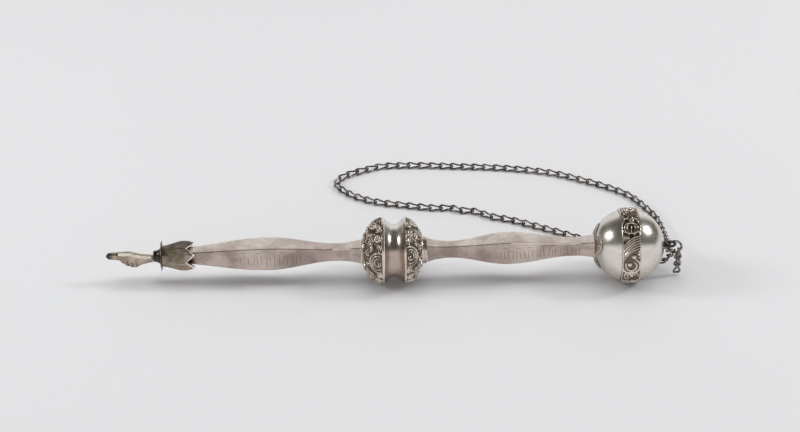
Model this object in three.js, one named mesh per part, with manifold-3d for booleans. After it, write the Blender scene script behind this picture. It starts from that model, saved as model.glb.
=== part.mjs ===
// A silver torah pointer lying on its knop and ball, with its neck chain spread out behind it.
// Millimetres, +Z up. X runs along the pointer from the finger to the ball, and Z = 0 is the surface
// that it lies on. The origin is below the middle of the pointer, leaving the chain out of account.

import * as THREE from 'three';
import { mergeVertices } from 'three/addons/utils/BufferGeometryUtils.js';
import Module from 'manifold-3d';

const wasm = await Module();
wasm.setup();

// Clearances
const seatGap = 0.25; // between pieces that are soldered or seated on each other
const linkGap = 0.25; // between the rings and the chain links that hang in them
const buried = 0.35; // how far raised work is rooted in the piece that carries it

// Hand
const handLength = 20.6;
const wristRadius = 1.7;
const palmHeight = 7.6;
const palmThickness = 4.1;
const palmDrop = 1.25; // the palm's middle below the pointer's axis
const fingerRadius = 1.45;
const fingertipRadius = 0.8;
const knuckleReach = 6.6; // from the fingertip back to the foremost curled knuckle

// Ferrule, star collar and leaf cup
const ferruleLength = 3.1;
const ferruleFrontRadius = 2.5;
const ferruleRearRadius = 3.5;
const starThickness = 0.6;
const starRays = 10;
const starRadius = 6.8;
const starRootRadius = 4.3;
const cupLength = 14.2;
const cupFrontRadius = 4.7;
const cupShoulderRadius = 6.6;
const cupTipRadius = 5.7;
const cupWall = 0.5;
const cupFloor = 0.8;
const cupLeaves = 6;
const cupNotch = 3.4; // depth of the cuts between the leaf tips
const cupFluting = 0.42; // how far each leaf swells beyond the lines between the leaves

// Four-sided baluster shafts, each from the hand's end towards the ball
const frontShaftLength = 85.9;
const frontShaftStart = 4.8; // side of the square inside the leaf cup
const frontShaftBelly = 10.75;
const frontShaftBellyAt = 45.4; // from the shaft's own front end
const frontShaftWaist = 5.85;
const frontShaftWaistAt = 75.0;
const frontShaftEnd = 8.0;
const rearShaftLength = 73.3;
const rearShaftStart = 7.9;
const rearShaftFrontWaist = 5.6;
const rearShaftFrontWaistAt = 10.0;
const rearShaftBelly = 10.55;
const rearShaftBellyAt = 35.4;
const rearShaftRearWaist = 6.25;
const rearShaftRearWaistAt = 64.0;
const rearShaftEnd = 7.6;
const arris = 0.4; // width of the worn edge between two faces of a shaft

// Knop
const knopRadius = 14.7;
const domeLength = 10.0; // with its collar
const frontDomeSpan = 10.75; // from the rim to where the dome's curve would meet the axis
const frontDomeFullness = 1.85; // 2 would be a plain ellipse
const rearDomeSpan = 9.5;
const rearDomeFullness = 1.7;
const knopCollarRadius = 6.1;
const rimWidth = 0.9; // the smooth edge of each dome beside the groove
const grooveWidth = 8.2;
const grooveDepth = 2.7;
const scrollsAround = 4;
const scrollHeight = 0.75;
const scrollWidth = 1.5;
const scrollFromRim = 3.5; // a scroll's middle
const scrollReach = 3.6; // from that middle to its outer turn
const flowerFromRim = 3.6;
const flowerRadius = 2.2;
const flowerHeight = 0.8;
const flowerPetals = 4;
const frontScrollTurn = 1.43; // of one scroll on each dome, in radians from the top towards the front
const rearScrollTurn = 1.24;

// Ball, its chased band and the leaves round the shaft
const ballRadius = 15.9;
const bandWidth = 8.3;
const bandRadius = 16.35;
const bandThickness = 0.95;
const bandEdgeWidth = 0.75;
const roundelRadius = 2.5;
const budRadius = 1.05;
const bandField = 0.3; // how deep the chased field lies below the band's edges
const chasedHeight = 0.42; // of the motifs over that field
const motifsAround = 3;
const firstMotifTurn = 0.56;
const leafEndsAt = [6.3, 11]; // over the band from the roundel's middle to the slanting leaf's two ends
const scrollsAt = [17.2, 23.2]; // from the roundel's middle to the two scrolls' middles
const scrollBudAcross = [-0.9, 0.2]; // of each scroll's bud, from the band's middle line
const calyxRadius = 10.3; // to the tips of its leaves
const calyxThickness = 0.4;
const calyxLeaves = 4;
const calyxTurn = Math.PI / 3; // one leaf points to the front

// Eye, ring and chain
const eyeRadius = 2;
const eyeWire = 0.6;
const eyeFootRadius = 2.4;
const eyeFootThickness = 0.8;
const ringRadius = 2.9;
const ringWire = 0.5;
const chainWire = 0.4; // radius of the links' wire
const linkPitch = 5.2;
const linkWidth = 3.3;
const linkLift = 1.0; // from the middle of a link's bar to its sides passing over the next bar
const chainLean = 45; // degrees that the links lean towards the front where they run sideways
const touch = 0.1; // how far two links are pressed into each other where they touch
const tailPitch = 3.4;
const twistLinks = 4; // links over which a run turns to meet the ring

// How deep the floor's plane cuts the rear rim of the knop and the middle of the band: the flats
// that the pointer lies on
const knopFlat = 0.15;
const bandFlat = 0.22;

const smoothSides = 24; // facets round a turned piece

// Places along the pointer's axis, from the fingertip
const ferruleAt = handLength + seatGap;
const starAt = ferruleAt + ferruleLength + seatGap;
const cupAt = starAt + starThickness + seatGap;
const frontShaftAt = cupAt + cupFloor + seatGap;
const knopAt = frontShaftAt + frontShaftLength + seatGap;
const grooveAt = knopAt + domeLength + seatGap;
const rearDomeAt = grooveAt + grooveWidth + seatGap;
const knopEnd = rearDomeAt + domeLength;
const rearShaftAt = knopEnd + seatGap;
const ballSeatAt = rearShaftAt + rearShaftLength + seatGap;
const ballSeatRadius = rearShaftEnd * Math.SQRT1_2 + arris;
const ballAt = ballSeatAt + Math.sqrt(ballRadius ** 2 - ballSeatRadius ** 2);
const ballRear = ballAt + Math.sqrt(ballRadius ** 2 - eyeFootRadius ** 2);
const eyeFootAt = ballRear + seatGap;
const eyeAt = eyeFootAt + eyeFootThickness + eyeRadius;
const pointerEnd = eyeAt + eyeRadius + eyeWire;

// The ball is thicker than the knop, so the axis climbs towards it
const rearRimAt = rearDomeAt + rimWidth / 2;
const climb = Math.asin((bandRadius - bandFlat - (knopRadius - knopFlat)) / (ballAt - rearRimAt));
const pointer = new THREE.Group();
pointer.rotation.y = -climb;
pointer.position.z = knopRadius - knopFlat - rearRimAt * Math.sin(climb);
pointer.position.x = (-pointerEnd / 2) * Math.cos(climb);
pointer.updateMatrixWorld(true);

// Materials
const silver = new THREE.MeshStandardMaterial({ color: 0xb9b0a8, roughness: 0.32, metalness: 1 });
const polished = new THREE.MeshStandardMaterial({ color: 0xc9c4bd, roughness: 0.12, metalness: 1 });
const chased = new THREE.MeshStandardMaterial({ color: 0x8f867a, roughness: 0.35, metalness: 1 });
const tarnished = new THREE.MeshStandardMaterial({ color: 0x7b6f5c, roughness: 0.45, metalness: 1 });
const blackened = new THREE.MeshStandardMaterial({ color: 0x2a2522, roughness: 0.5, metalness: 1 });
const warm = new THREE.MeshStandardMaterial({ color: 0xb09a78, roughness: 0.3, metalness: 1 });
const oxidised = new THREE.MeshStandardMaterial({ color: 0x544b45, roughness: 0.4, metalness: 1 });

// A closed geometry becomes a solid that can be joined and cut.
function toSolid(geometry) {
  const bare = geometry.clone();
  bare.deleteAttribute('normal');
  bare.deleteAttribute('uv');
  const merged = mergeVertices(bare, 1e-5);
  return new wasm.Manifold(new wasm.Mesh({
    numProp: 3,
    vertProperties: new Float32Array(merged.attributes.position.array),
    triVerts: new Uint32Array(merged.index.array),
  }));
}

function toGeometry(solid) {
  const mesh = solid.getMesh();
  const geometry = new THREE.BufferGeometry();
  geometry.setAttribute('position', new THREE.BufferAttribute(new Float32Array(mesh.vertProperties), 3));
  geometry.setIndex(new THREE.BufferAttribute(new Uint32Array(mesh.triVerts), 1));
  geometry.computeVertexNormals();
  return geometry;
}

function join(geometries) {
  return geometries.map(toSolid).reduce((whole, next) => whole.add(next));
}

function signedVolume(positions, index) {
  const corner = (i) => new THREE.Vector3().fromArray(positions, 3 * index[i]);
  let total = 0;
  for (let i = 0; i < index.length; i += 3) {
    total += corner(i).dot(corner(i + 1).cross(corner(i + 2))) / 6;
  }
  return total;
}

// How many places on a ring its points have to be counted round to lie nearest another ring's.
function nearestTurn(ring, next) {
  const miss = (turn) => ring.reduce((sum, point, i) => (
    sum + point.distanceToSquared(next[(i + turn) % next.length])
  ), 0);
  return ring.map((_, turn) => turn).reduce((best, turn) => (miss(turn) < miss(best) ? turn : best));
}

// Skins rings of points, each with as many points as the first, into one closed body whose faces
// point out. Looped rings close on the first ring.
function loft(rings, looped = false) {
  const count = rings[0].length;
  const positions = rings.flat().flatMap((point) => [point.x, point.y, point.z]);
  const index = [];
  const spans = looped ? rings.length : rings.length - 1;
  for (let ring = 0; ring < spans; ring += 1) {
    const here = ring * count;
    const next = (ring + 1) % rings.length;
    const turn = looped ? nearestTurn(rings[ring], rings[next]) : 0;
    for (let i = 0; i < count; i += 1) {
      const j = (i + 1) % count;
      const iThere = next * count + ((i + turn) % count);
      const jThere = next * count + ((j + turn) % count);
      index.push(here + i, iThere, jThere, here + i, jThere, here + j);
    }
  }
  if (!looped) {
    const last = (rings.length - 1) * count;
    for (let i = 1; i < count - 1; i += 1) {
      index.push(0, i, i + 1, last, last + i + 1, last + i);
    }
  }
  if (signedVolume(positions, index) < 0) index.reverse();
  const geometry = new THREE.BufferGeometry();
  geometry.setAttribute('position', new THREE.Float32BufferAttribute(positions, 3));
  geometry.setIndex(index);
  return geometry;
}

// Turns a profile of [place along the axis, radius] pairs round the pointer's axis.
function turned(profile, sides = smoothSides) {
  const points = profile.map(([along, radius]) => new THREE.Vector2(radius, along));
  const geometry = new THREE.LatheGeometry(points, sides);
  geometry.rotateZ(-Math.PI / 2);
  return geometry;
}

// A ring of points round the axis at one place along it, with a radius for each angle.
function around(along, count, radiusAt) {
  return Array.from({ length: count }, (_, i) => {
    const angle = (i / count) * 2 * Math.PI;
    const radius = radiusAt(angle);
    return new THREE.Vector3(along, -radius * Math.sin(angle), radius * Math.cos(angle));
  });
}

// Half of a cosine wave from one value to another.
function ease(from, to, share) {
  return from + (to - from) * (0.5 - 0.5 * Math.cos(Math.PI * THREE.MathUtils.clamp(share, 0, 1)));
}

// A tapered limb: elliptical sections at [along, across, up, half width, half height] stations.
function limb(stations, sides) {
  return loft(stations.map(([along, across, up, halfWidth, halfHeight]) => Array.from({ length: sides }, (_, i) => {
    const angle = (i / sides) * 2 * Math.PI;
    return new THREE.Vector3(along, across - halfWidth * Math.sin(angle), up + halfHeight * Math.cos(angle));
  })));
}

// The hand points with its first finger and folds the other three under it, one below another,
// while the thumb lies along the far side.
function hand() {
  const halfPalm = palmHeight / 2;
  const palmMiddle = 0.6 * handLength;
  const palm = limb([
    [handLength, 0, -0.5 * palmDrop, wristRadius * 0.95, wristRadius],
    [0.9 * handLength, 0, -0.7 * palmDrop, wristRadius, wristRadius * 1.15],
    [0.78 * handLength, 0, -0.9 * palmDrop, palmThickness * 0.47, halfPalm * 0.78],
    [palmMiddle, 0, -palmDrop, palmThickness / 2, halfPalm],
    [0.47 * handLength, 0, -0.75 * palmDrop, palmThickness * 0.49, halfPalm * 0.94],
    [0.36 * handLength, 0, -0.3 * palmDrop, palmThickness * 0.4, halfPalm * 0.62],
  ], 10);
  const lift = halfPalm - fingerRadius - palmDrop;
  const finger = limb([
    [palmMiddle, 0, lift, fingerRadius * 0.9, fingerRadius],
    [0.42 * handLength, 0, lift, fingerRadius, fingerRadius * 1.1],
    [0.29 * handLength, 0, lift * 0.95, fingerRadius * 0.92, fingerRadius * 0.95],
    [0.2 * handLength, 0, lift * 0.85, fingerRadius * 0.95, fingerRadius],
    [0.08 * handLength, 0, lift * 0.55, fingertipRadius * 1.35, fingertipRadius * 1.35],
    [0.02 * handLength, 0, lift * 0.35, fingertipRadius, fingertipRadius],
    [0, 0, lift * 0.3, fingertipRadius * 0.45, fingertipRadius * 0.45],
  ], 8);
  const pieces = [palm, finger];
  const folded = 3;
  for (let i = 0; i < folded; i += 1) {
    const size = fingerRadius * (1 - 0.09 * i);
    const up = lift - fingerRadius * (1.45 + 1.3 * i);
    const front = knuckleReach + 1.75 * i;
    pieces.push(limb([
      [front, -0.15, up, size * 0.35, size * 0.45],
      [front + 0.35 * size, -0.15, up, size * 0.8, size * 0.85],
      [front + size, 0, up, size * 1.2, size],
      [front + 2.6 * size, 0.2, up, size * 1.3, size * 0.92],
      [front + 4 * size, 0.3, up, size * 1.05, size * 0.8],
    ], 6));
  }
  pieces.push(limb([
    [0.72 * handLength, palmThickness * 0.35, 0, wristRadius * 0.6, wristRadius * 0.7],
    [0.56 * handLength, palmThickness * 0.52, 0.1 * palmHeight, fingerRadius * 0.75, fingerRadius * 0.85],
    [0.42 * handLength, palmThickness * 0.5, 0.16 * palmHeight, fingerRadius * 0.7, fingerRadius * 0.75],
    [0.34 * handLength, palmThickness * 0.42, 0.15 * palmHeight, fingerRadius * 0.4, fingerRadius * 0.45],
  ], 8));
  return toGeometry(join(pieces));
}

function ferrule() {
  return turned([
    [ferruleAt, 0],
    [ferruleAt, ferruleFrontRadius * 0.9],
    [ferruleAt + 0.15 * ferruleLength, ferruleFrontRadius * 1.06],
    [ferruleAt + 0.35 * ferruleLength, ferruleFrontRadius],
    [ferruleAt + 0.5 * ferruleLength, ferruleFrontRadius],
    [ferruleAt + ferruleLength, ferruleRearRadius],
    [ferruleAt + ferruleLength, 0],
  ], 12);
}

// A thin plate cut into pointed rays, seen on edge between the ferrule and the cup.
function starCollar() {
  const star = new THREE.Shape(Array.from({ length: 2 * starRays }, (_, i) => {
    const angle = (i / starRays) * Math.PI;
    const radius = i % 2 === 0 ? starRadius : starRootRadius;
    return new THREE.Vector2(radius * Math.sin(angle), radius * Math.cos(angle));
  }));
  const geometry = new THREE.ExtrudeGeometry(star, { depth: starThickness, bevelEnabled: false });
  geometry.rotateX(Math.PI / 2).rotateZ(Math.PI / 2).translate(starAt, 0, 0);
  return geometry;
}

// The cup is six pointed leaves side by side, swelling between the cuts and closing at their tips.
function leafCup() {
  const perLeaf = 4;
  const count = cupLeaves * perLeaf;
  const shares = [0, 0.3, 0.62, 0.84, 1];
  const leafPlace = (angle) => Math.abs(Math.cos((angle * cupLeaves) / 2));
  const reach = (angle) => cupLength - cupNotch * (1 - leafPlace(angle)) ** 0.8;
  const radius = (share) => (share < 0.84
    ? ease(cupFrontRadius, cupShoulderRadius, share / 0.84)
    : ease(cupShoulderRadius, cupTipRadius, (share - 0.84) / 0.32));
  const skin = (share, inset, from) => around(0, count, (angle) => (
    radius(share) + cupFluting * (leafPlace(angle) - 0.5) * Math.min(1, 0.3 + share) - inset
  )).map((point, i) => {
    const angle = (i / count) * 2 * Math.PI;
    return new THREE.Vector3(cupAt + from + share * (reach(angle) - from), point.y, point.z);
  });
  const outer = shares.map((share) => skin(share, 0, 0));
  const inner = shares.map((share) => skin(share, cupWall, cupFloor)).reverse();
  return loft([...outer, ...inner]);
}

// One face-to-face section of a shaft: a square with its edges slightly worn.
function squareSection(along, side) {
  const half = side / 2;
  const edge = half - arris;
  const corners = [[-edge, half], [edge, half], [half, edge], [half, -edge],
    [edge, -half], [-edge, -half], [-half, -edge], [-half, edge]];
  return corners.map(([across, up]) => new THREE.Vector3(along, -across, up));
}

function shaft(at, length, sideAt) {
  const steps = 14;
  return loft(Array.from({ length: steps + 1 }, (_, i) => {
    const along = (i / steps) * length;
    return squareSection(at + along, sideAt(along));
  }));
}

function frontShaftSide(along) {
  if (along < frontShaftBellyAt) {
    return ease(frontShaftStart, frontShaftBelly, along / frontShaftBellyAt);
  }
  if (along < frontShaftWaistAt) {
    return ease(frontShaftBelly, frontShaftWaist, (along - frontShaftBellyAt) / (frontShaftWaistAt - frontShaftBellyAt));
  }
  const share = (along - frontShaftWaistAt) / (frontShaftLength - frontShaftWaistAt);
  return frontShaftWaist + (frontShaftEnd - frontShaftWaist) * share ** 2;
}

function rearShaftSide(along) {
  if (along < rearShaftFrontWaistAt) {
    const share = 1 - along / rearShaftFrontWaistAt;
    return rearShaftFrontWaist + (rearShaftStart - rearShaftFrontWaist) * share ** 2;
  }
  if (along < rearShaftBellyAt) {
    const share = (along - rearShaftFrontWaistAt) / (rearShaftBellyAt - rearShaftFrontWaistAt);
    return ease(rearShaftFrontWaist, rearShaftBelly, share);
  }
  if (along < rearShaftRearWaistAt) {
    const share = (along - rearShaftBellyAt) / (rearShaftRearWaistAt - rearShaftBellyAt);
    return ease(rearShaftBelly, rearShaftRearWaist, share);
  }
  const share = (along - rearShaftRearWaistAt) / (rearShaftLength - rearShaftRearWaistAt);
  return rearShaftRearWaist + (rearShaftEnd - rearShaftRearWaist) * share ** 2;
}

// Radius of a knop dome, measured from its rim towards the shaft. Side is 1 on the rear dome and -1
// on the front one, which is the fuller of the two.
function domeRadius(fromRim, side) {
  const fullness = side > 0 ? rearDomeFullness : frontDomeFullness;
  const share = THREE.MathUtils.clamp(fromRim / (side > 0 ? rearDomeSpan : frontDomeSpan), 0, 1);
  return knopRadius * (1 - share ** fullness) ** (1 / fullness);
}

// Where a dome has come down to the radius of its collar, measured from its rim.
function collarFromRim(side) {
  const fullness = side > 0 ? rearDomeFullness : frontDomeFullness;
  const share = (1 - (knopCollarRadius / knopRadius) ** fullness) ** (1 / fullness);
  return share * (side > 0 ? rearDomeSpan : frontDomeSpan);
}

// A point on a dome and the way out of its surface. Turn is the angle round the axis from the top
// towards the front.
function onDome(fromRim, turn, side) {
  const rimAt = side > 0 ? rearDomeAt : knopAt + domeLength;
  const radius = domeRadius(fromRim, side);
  const slope = (domeRadius(fromRim + 0.1, side) - domeRadius(fromRim - 0.1, side)) / 0.2;
  const outward = new THREE.Vector3(-slope * side, -Math.sin(turn), Math.cos(turn)).normalize();
  const place = new THREE.Vector3(rimAt + side * fromRim, -radius * Math.sin(turn), radius * Math.cos(turn));
  return { place, outward };
}

// A point on the field of the band, in the same way.
function onBand(fromMiddle, turn) {
  const radius = bandRadius - bandField;
  const place = new THREE.Vector3(ballAt + fromMiddle, -radius * Math.sin(turn), radius * Math.cos(turn));
  return { place, outward: new THREE.Vector3(0, -Math.sin(turn), Math.cos(turn)) };
}

// A raised ridge along a line on a surface, thickest in its middle and tapering to both ends.
function ridge(samples, width, height) {
  const rings = samples.map(({ place, outward }, i) => {
    const before = samples[Math.max(0, i - 1)].place;
    const after = samples[Math.min(samples.length - 1, i + 1)].place;
    const along = after.clone().sub(before).normalize();
    const across = new THREE.Vector3().crossVectors(along, outward).normalize();
    const swell = 0.45 + 0.55 * Math.sin((Math.PI * i) / (samples.length - 1));
    const root = place.clone().addScaledVector(outward, -buried);
    return [
      root.clone().addScaledVector(across, (-width / 2) * swell),
      place.clone().addScaledVector(outward, height * swell),
      root.clone().addScaledVector(across, (width / 2) * swell),
    ];
  });
  return loft(rings);
}

// A low pointed boss with petals, standing on a surface.
function rosette({ place, outward }, radius, height, petals) {
  const count = 2 * petals;
  const spin = new THREE.Quaternion().setFromUnitVectors(new THREE.Vector3(0, 0, 1), outward);
  const circle = (share, up) => Array.from({ length: count }, (_, i) => {
    const angle = (i / count) * 2 * Math.PI;
    const reach = radius * share * (i % 2 === 0 ? 1 : 0.74);
    return new THREE.Vector3(reach * Math.cos(angle), reach * Math.sin(angle), up)
      .applyQuaternion(spin).add(place);
  });
  return loft([circle(0.45, height), circle(1, height * 0.45), circle(1, -buried)]);
}

// Each dome carries C-scrolls with their open side to the rim, and a flower between two scrolls.
function domeCarving(side, firstTurn) {
  const pieces = [];
  const radiusThere = domeRadius(scrollFromRim, side);
  const steps = 8;
  for (let i = 0; i < scrollsAround; i += 1) {
    const turn = firstTurn + (i / scrollsAround) * 2 * Math.PI;
    const samples = Array.from({ length: steps }, (_, k) => {
      const share = k / (steps - 1);
      const angle = -0.75 * Math.PI + share * 2.1 * Math.PI;
      const reach = scrollReach * (1 - 0.62 * share);
      return onDome(
        scrollFromRim + reach * Math.cos(angle),
        turn + (1.25 * reach * Math.sin(angle)) / radiusThere,
        side,
      );
    });
    pieces.push(ridge(samples, scrollWidth, scrollHeight));
    const between = turn + Math.PI / scrollsAround;
    pieces.push(rosette(onDome(flowerFromRim, between, side), flowerRadius, flowerHeight, flowerPetals));
  }
  return pieces;
}

// A knop dome with its collar. The front one faces the hand and the rear one the ball.
function knopDome(side, firstTurn) {
  const rimAt = side > 0 ? rearDomeAt : knopAt + domeLength;
  const steps = 4;
  const profile = [[0, 0]];
  for (let i = 0; i <= steps; i += 1) {
    const fromRim = rimWidth + (collarFromRim(side) - rimWidth) * Math.sin((i / steps) * 0.5 * Math.PI);
    if (i === 0) profile.push([0, knopRadius]);
    profile.push([fromRim, i === 0 ? knopRadius : domeRadius(fromRim, side)]);
  }
  profile.push([(collarFromRim(side) + domeLength) / 2, knopCollarRadius]);
  profile.push([domeLength, knopCollarRadius * 0.96]);
  profile.push([domeLength, 0]);
  const placed = profile.map(([fromRim, radius]) => [rimAt + side * fromRim, radius]);
  const body = turned(side > 0 ? placed : placed.reverse());
  return cutFlat(join([body, ...domeCarving(side, firstTurn)]));
}

// The polished spool between the domes, hollowed to a round groove.
function knopGroove() {
  const steps = 5;
  const profile = [[grooveAt, 0]];
  for (let i = 0; i <= steps; i += 1) {
    const share = (2 * i) / steps - 1;
    profile.push([grooveAt + (i / steps) * grooveWidth, knopRadius - 0.35 - grooveDepth * (1 - share ** 2)]);
  }
  profile.push([grooveAt + grooveWidth, 0]);
  return cutFlat(toSolid(turned(profile)));
}

// A plain polished globe with seats for the shaft and the eye, and a channel for the band.
function ball() {
  const channelRadius = bandRadius - bandThickness - seatGap;
  const halfChannel = bandWidth / 2 + seatGap;
  const arc = (from, to, steps) => Array.from({ length: steps + 1 }, (_, i) => {
    const angle = from + ((to - from) * i) / steps;
    return [ballAt - ballRadius * Math.cos(angle), ballRadius * Math.sin(angle)];
  });
  const seat = Math.asin(ballSeatRadius / ballRadius);
  const edge = Math.acos(halfChannel / ballRadius);
  const foot = Math.asin(eyeFootRadius / ballRadius);
  return cutFlat(toSolid(turned([
    [ballSeatAt, 0],
    ...arc(seat, edge, 4),
    [ballAt - halfChannel, channelRadius],
    [ballAt + halfChannel, channelRadius],
    ...arc(Math.PI - edge, Math.PI - foot, 4),
    [ballRear, 0],
  ])));
}

// The band has two plain edges and, between them, roundels, slanting leaves and scrolls with buds.
function ballBand() {
  const inner = bandRadius - bandThickness;
  const half = bandWidth / 2;
  const sunk = bandRadius - bandField;
  const profile = [
    [ballAt - half, inner], [ballAt - half, bandRadius - 0.1], [ballAt - half + bandEdgeWidth, bandRadius - 0.05],
    [ballAt - half + bandEdgeWidth, sunk], [ballAt + half - bandEdgeWidth, sunk],
    [ballAt + half - bandEdgeWidth, bandRadius - 0.05], [ballAt + half, bandRadius - 0.1], [ballAt + half, inner],
  ];
  const body = turned([...profile, profile[0]]);
  const field = half - bandEdgeWidth;
  const pieces = [body];
  const step = (2 * Math.PI) / motifsAround;
  for (let i = 0; i < motifsAround; i += 1) {
    const turn = firstMotifTurn + i * step;
    pieces.push(rosette(onBand(0, turn), Math.min(roundelRadius, field), chasedHeight, 4));
    const leaf = Array.from({ length: 3 }, (_, k) => {
      const share = k / 2;
      const over = leafEndsAt[0] + (leafEndsAt[1] - leafEndsAt[0]) * share;
      return onBand(field * 0.85 * (1 - 2 * share), turn + over / bandRadius);
    });
    pieces.push(ridge(leaf, 1.7, chasedHeight));
    // The first scroll opens towards the hand and widens, and the second one closes.
    const scroll = (middle, startAngle, endAngle, startReach, endReach) => Array.from({ length: 6 }, (_, k) => {
      const share = k / 5;
      const angle = ((startAngle + (endAngle - startAngle) * share) * Math.PI) / 180;
      const reach = field * (startReach + (endReach - startReach) * share);
      const across = Math.min(0.85, Math.max(-0.85, (reach / field) * Math.cos(angle))) * field;
      return onBand(across, turn + (middle + reach * Math.sin(angle)) / bandRadius);
    });
    pieces.push(ridge(scroll(scrollsAt[0], -60, 215, 0.85, 1.1), 1, chasedHeight));
    pieces.push(ridge(scroll(scrollsAt[1], 120, 360, 0.85, 0.65), 1, chasedHeight));
    scrollsAt.forEach((middle, k) => {
      const bud = onBand(scrollBudAcross[k], turn + middle / bandRadius);
      pieces.push(rosette(bud, budRadius, chasedHeight * 1.1, 3));
    });
  }
  return cutFlat(join(pieces));
}

// A thin rosette of leaves that lies on the globe round the end of the shaft.
function calyx() {
  const perLeaf = 4;
  const count = calyxLeaves * perLeaf;
  const root = ballSeatRadius + seatGap;
  const skin = (share, lift) => Array.from({ length: count }, (_, i) => {
    const fromLeaf = (i / count) * 2 * Math.PI;
    const angle = calyxTurn + fromLeaf;
    const leaf = Math.abs(Math.cos((fromLeaf * calyxLeaves) / 2)) ** 1.5;
    const reach = root + (calyxRadius - root) * share * (0.15 + 0.85 * leaf);
    const polar = Math.asin(reach / ballRadius);
    const shell = ballRadius + seatGap + lift;
    return new THREE.Vector3(
      ballAt - shell * Math.cos(polar),
      -shell * Math.sin(polar) * Math.sin(angle),
      shell * Math.sin(polar) * Math.cos(angle),
    );
  });
  return loft([skin(0, calyxThickness), skin(0.5, calyxThickness * 1.3), skin(1, calyxThickness * 0.5),
    skin(1, 0), skin(0.5, 0), skin(0, 0)].reverse(), true);
}

// A foot soldered to the globe, with a round eye lying level on its end.
function endEye() {
  const foot = turned([
    [eyeFootAt, 0],
    [eyeFootAt, eyeFootRadius - seatGap],
    [eyeFootAt + eyeFootThickness, eyeFootRadius * 0.55],
    [eyeFootAt + eyeFootThickness, 0],
  ], 12);
  const hoop = new THREE.TorusGeometry(eyeRadius, eyeWire, 5, 12);
  hoop.translate(eyeAt, 0, 0);
  return toGeometry(join([foot, hoop]));
}

// The box below the floor's plane, set in the pointer's own tilted frame.
function belowFloor() {
  const size = 2 * knopRadius;
  const box = new THREE.BoxGeometry(2 * pointerEnd, 2 * size, size);
  box.translate(0, 0, -size / 2);
  box.applyMatrix4(pointer.matrixWorld.clone().invert());
  return toSolid(box);
}

function cutFlat(solid) {
  return toGeometry(solid.subtract(belowFloor()));
}

// Where a point of the pointer's own frame lies in the part's frame.
function inPart(along, across, up) {
  return new THREE.Vector3(along, across, up).applyMatrix4(pointer.matrixWorld);
}

// The ring hangs over the outer side of the level eye, and carries both ends of the chain and its
// short tail.
const ringMiddle = inPart(eyeAt + eyeRadius, 0, 0);
ringMiddle.z += eyeWire + linkGap + ringWire - ringRadius;

function jumpRing() {
  const ring = new THREE.TorusGeometry(ringRadius, ringWire, 5, 16);
  ring.rotateX(Math.PI / 2).translate(ringMiddle.x, ringMiddle.y, ringMiddle.z);
  return ring;
}

// A pear-shaped link of three-sided wire, from its straight bar to the pinched end that holds the
// next link's bar. Its sides pass over and under that bar. Facing is the way that its broad side
// looks, and opened is how much wider its pinched end is bent.
function link(barAt, nextBarAt, facing, opened) {
  const along = nextBarAt.clone().sub(barAt);
  const length = along.length();
  along.normalize();
  const across = new THREE.Vector3().crossVectors(facing, along).normalize();
  const lift = new THREE.Vector3().crossVectors(along, across);
  const halfBar = linkWidth / 2 - chainWire;
  const end = length + 2 * chainWire - touch;
  const rise = linkLift + opened;
  const path = [[0, halfBar, 0], [end, 0, rise], [end, 0, -rise], [0, -halfBar, 0]].map(([a, b, c]) => (
    barAt.clone().addScaledVector(along, a).addScaledVector(across, b).addScaledVector(lift, c)
  ));
  const centre = barAt.clone().addScaledVector(along, length / 2);
  const rings = path.map((point, i) => {
    const inTo = point.clone().sub(path[(i + 3) % 4]).normalize();
    const outOf = path[(i + 1) % 4].clone().sub(point).normalize();
    const run = inTo.clone().add(outOf).normalize();
    const normal = point.clone().sub(centre);
    normal.addScaledVector(run, -normal.dot(run)).normalize();
    const side = new THREE.Vector3().crossVectors(run, normal);
    const miter = 1 / Math.max(0.5, run.dot(outOf));
    return [0, 1, 2].map((k) => {
      const angle = Math.PI + (k * 2 * Math.PI) / 3;
      return point.clone()
        .addScaledVector(normal, chainWire * miter * Math.cos(angle))
        .addScaledVector(side, chainWire * Math.sin(angle));
    });
  });
  return loft(rings, true);
}

// Links face up where the chain runs from front to back, and lean over where it runs sideways.
const lean = THREE.MathUtils.degToRad(chainLean);
const chainHeight = Math.max((linkWidth / 2) * Math.sin(lean), linkLift * Math.cos(lean)) + chainWire;

function leaning(along) {
  return new THREE.Vector3(0, 0, 1).applyAxisAngle(along, lean * along.x);
}

// A run of links along a line of points, ending with a link that is hooked over the ring. Angle is
// the place on the ring, in degrees from its outermost point over its top. Each link's bar lies
// one pitch from the next, and over the last few links the run twists to meet the ring squarely.
function runToRing(points, pitch, angle) {
  const turn = THREE.MathUtils.degToRad(angle);
  const wireAt = ringMiddle.clone().add(new THREE.Vector3(Math.cos(turn), 0, Math.sin(turn)).multiplyScalar(ringRadius));
  const tangent = new THREE.Vector3(-Math.sin(turn), 0, Math.cos(turn));
  const arrival = wireAt.clone().sub(points[points.length - 1]).normalize();
  const hook = ringWire + linkGap + touch - chainWire;
  const curve = new THREE.CatmullRomCurve3([...points, wireAt.addScaledVector(arrival, hook)], false, 'centripetal');
  const count = Math.round(curve.getLength() / pitch);
  const bars = curve.getSpacedPoints(count);
  return bars.slice(1).map((bar, i) => {
    const along = bar.clone().sub(bars[i]).normalize();
    const facing = leaning(along);
    const square = new THREE.Vector3().crossVectors(along, tangent);
    if (square.dot(facing) < 0) square.negate();
    const twist = THREE.MathUtils.smoothstep(i, count - 1 - twistLinks, count - 1);
    return link(bars[i], bar, facing.lerp(square, twist), i === count - 1 ? ringWire + linkGap - chainWire : 0);
  });
}

function toPoints(list) {
  return list.map(([x, y, z]) => new THREE.Vector3(x, y, z));
}

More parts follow.
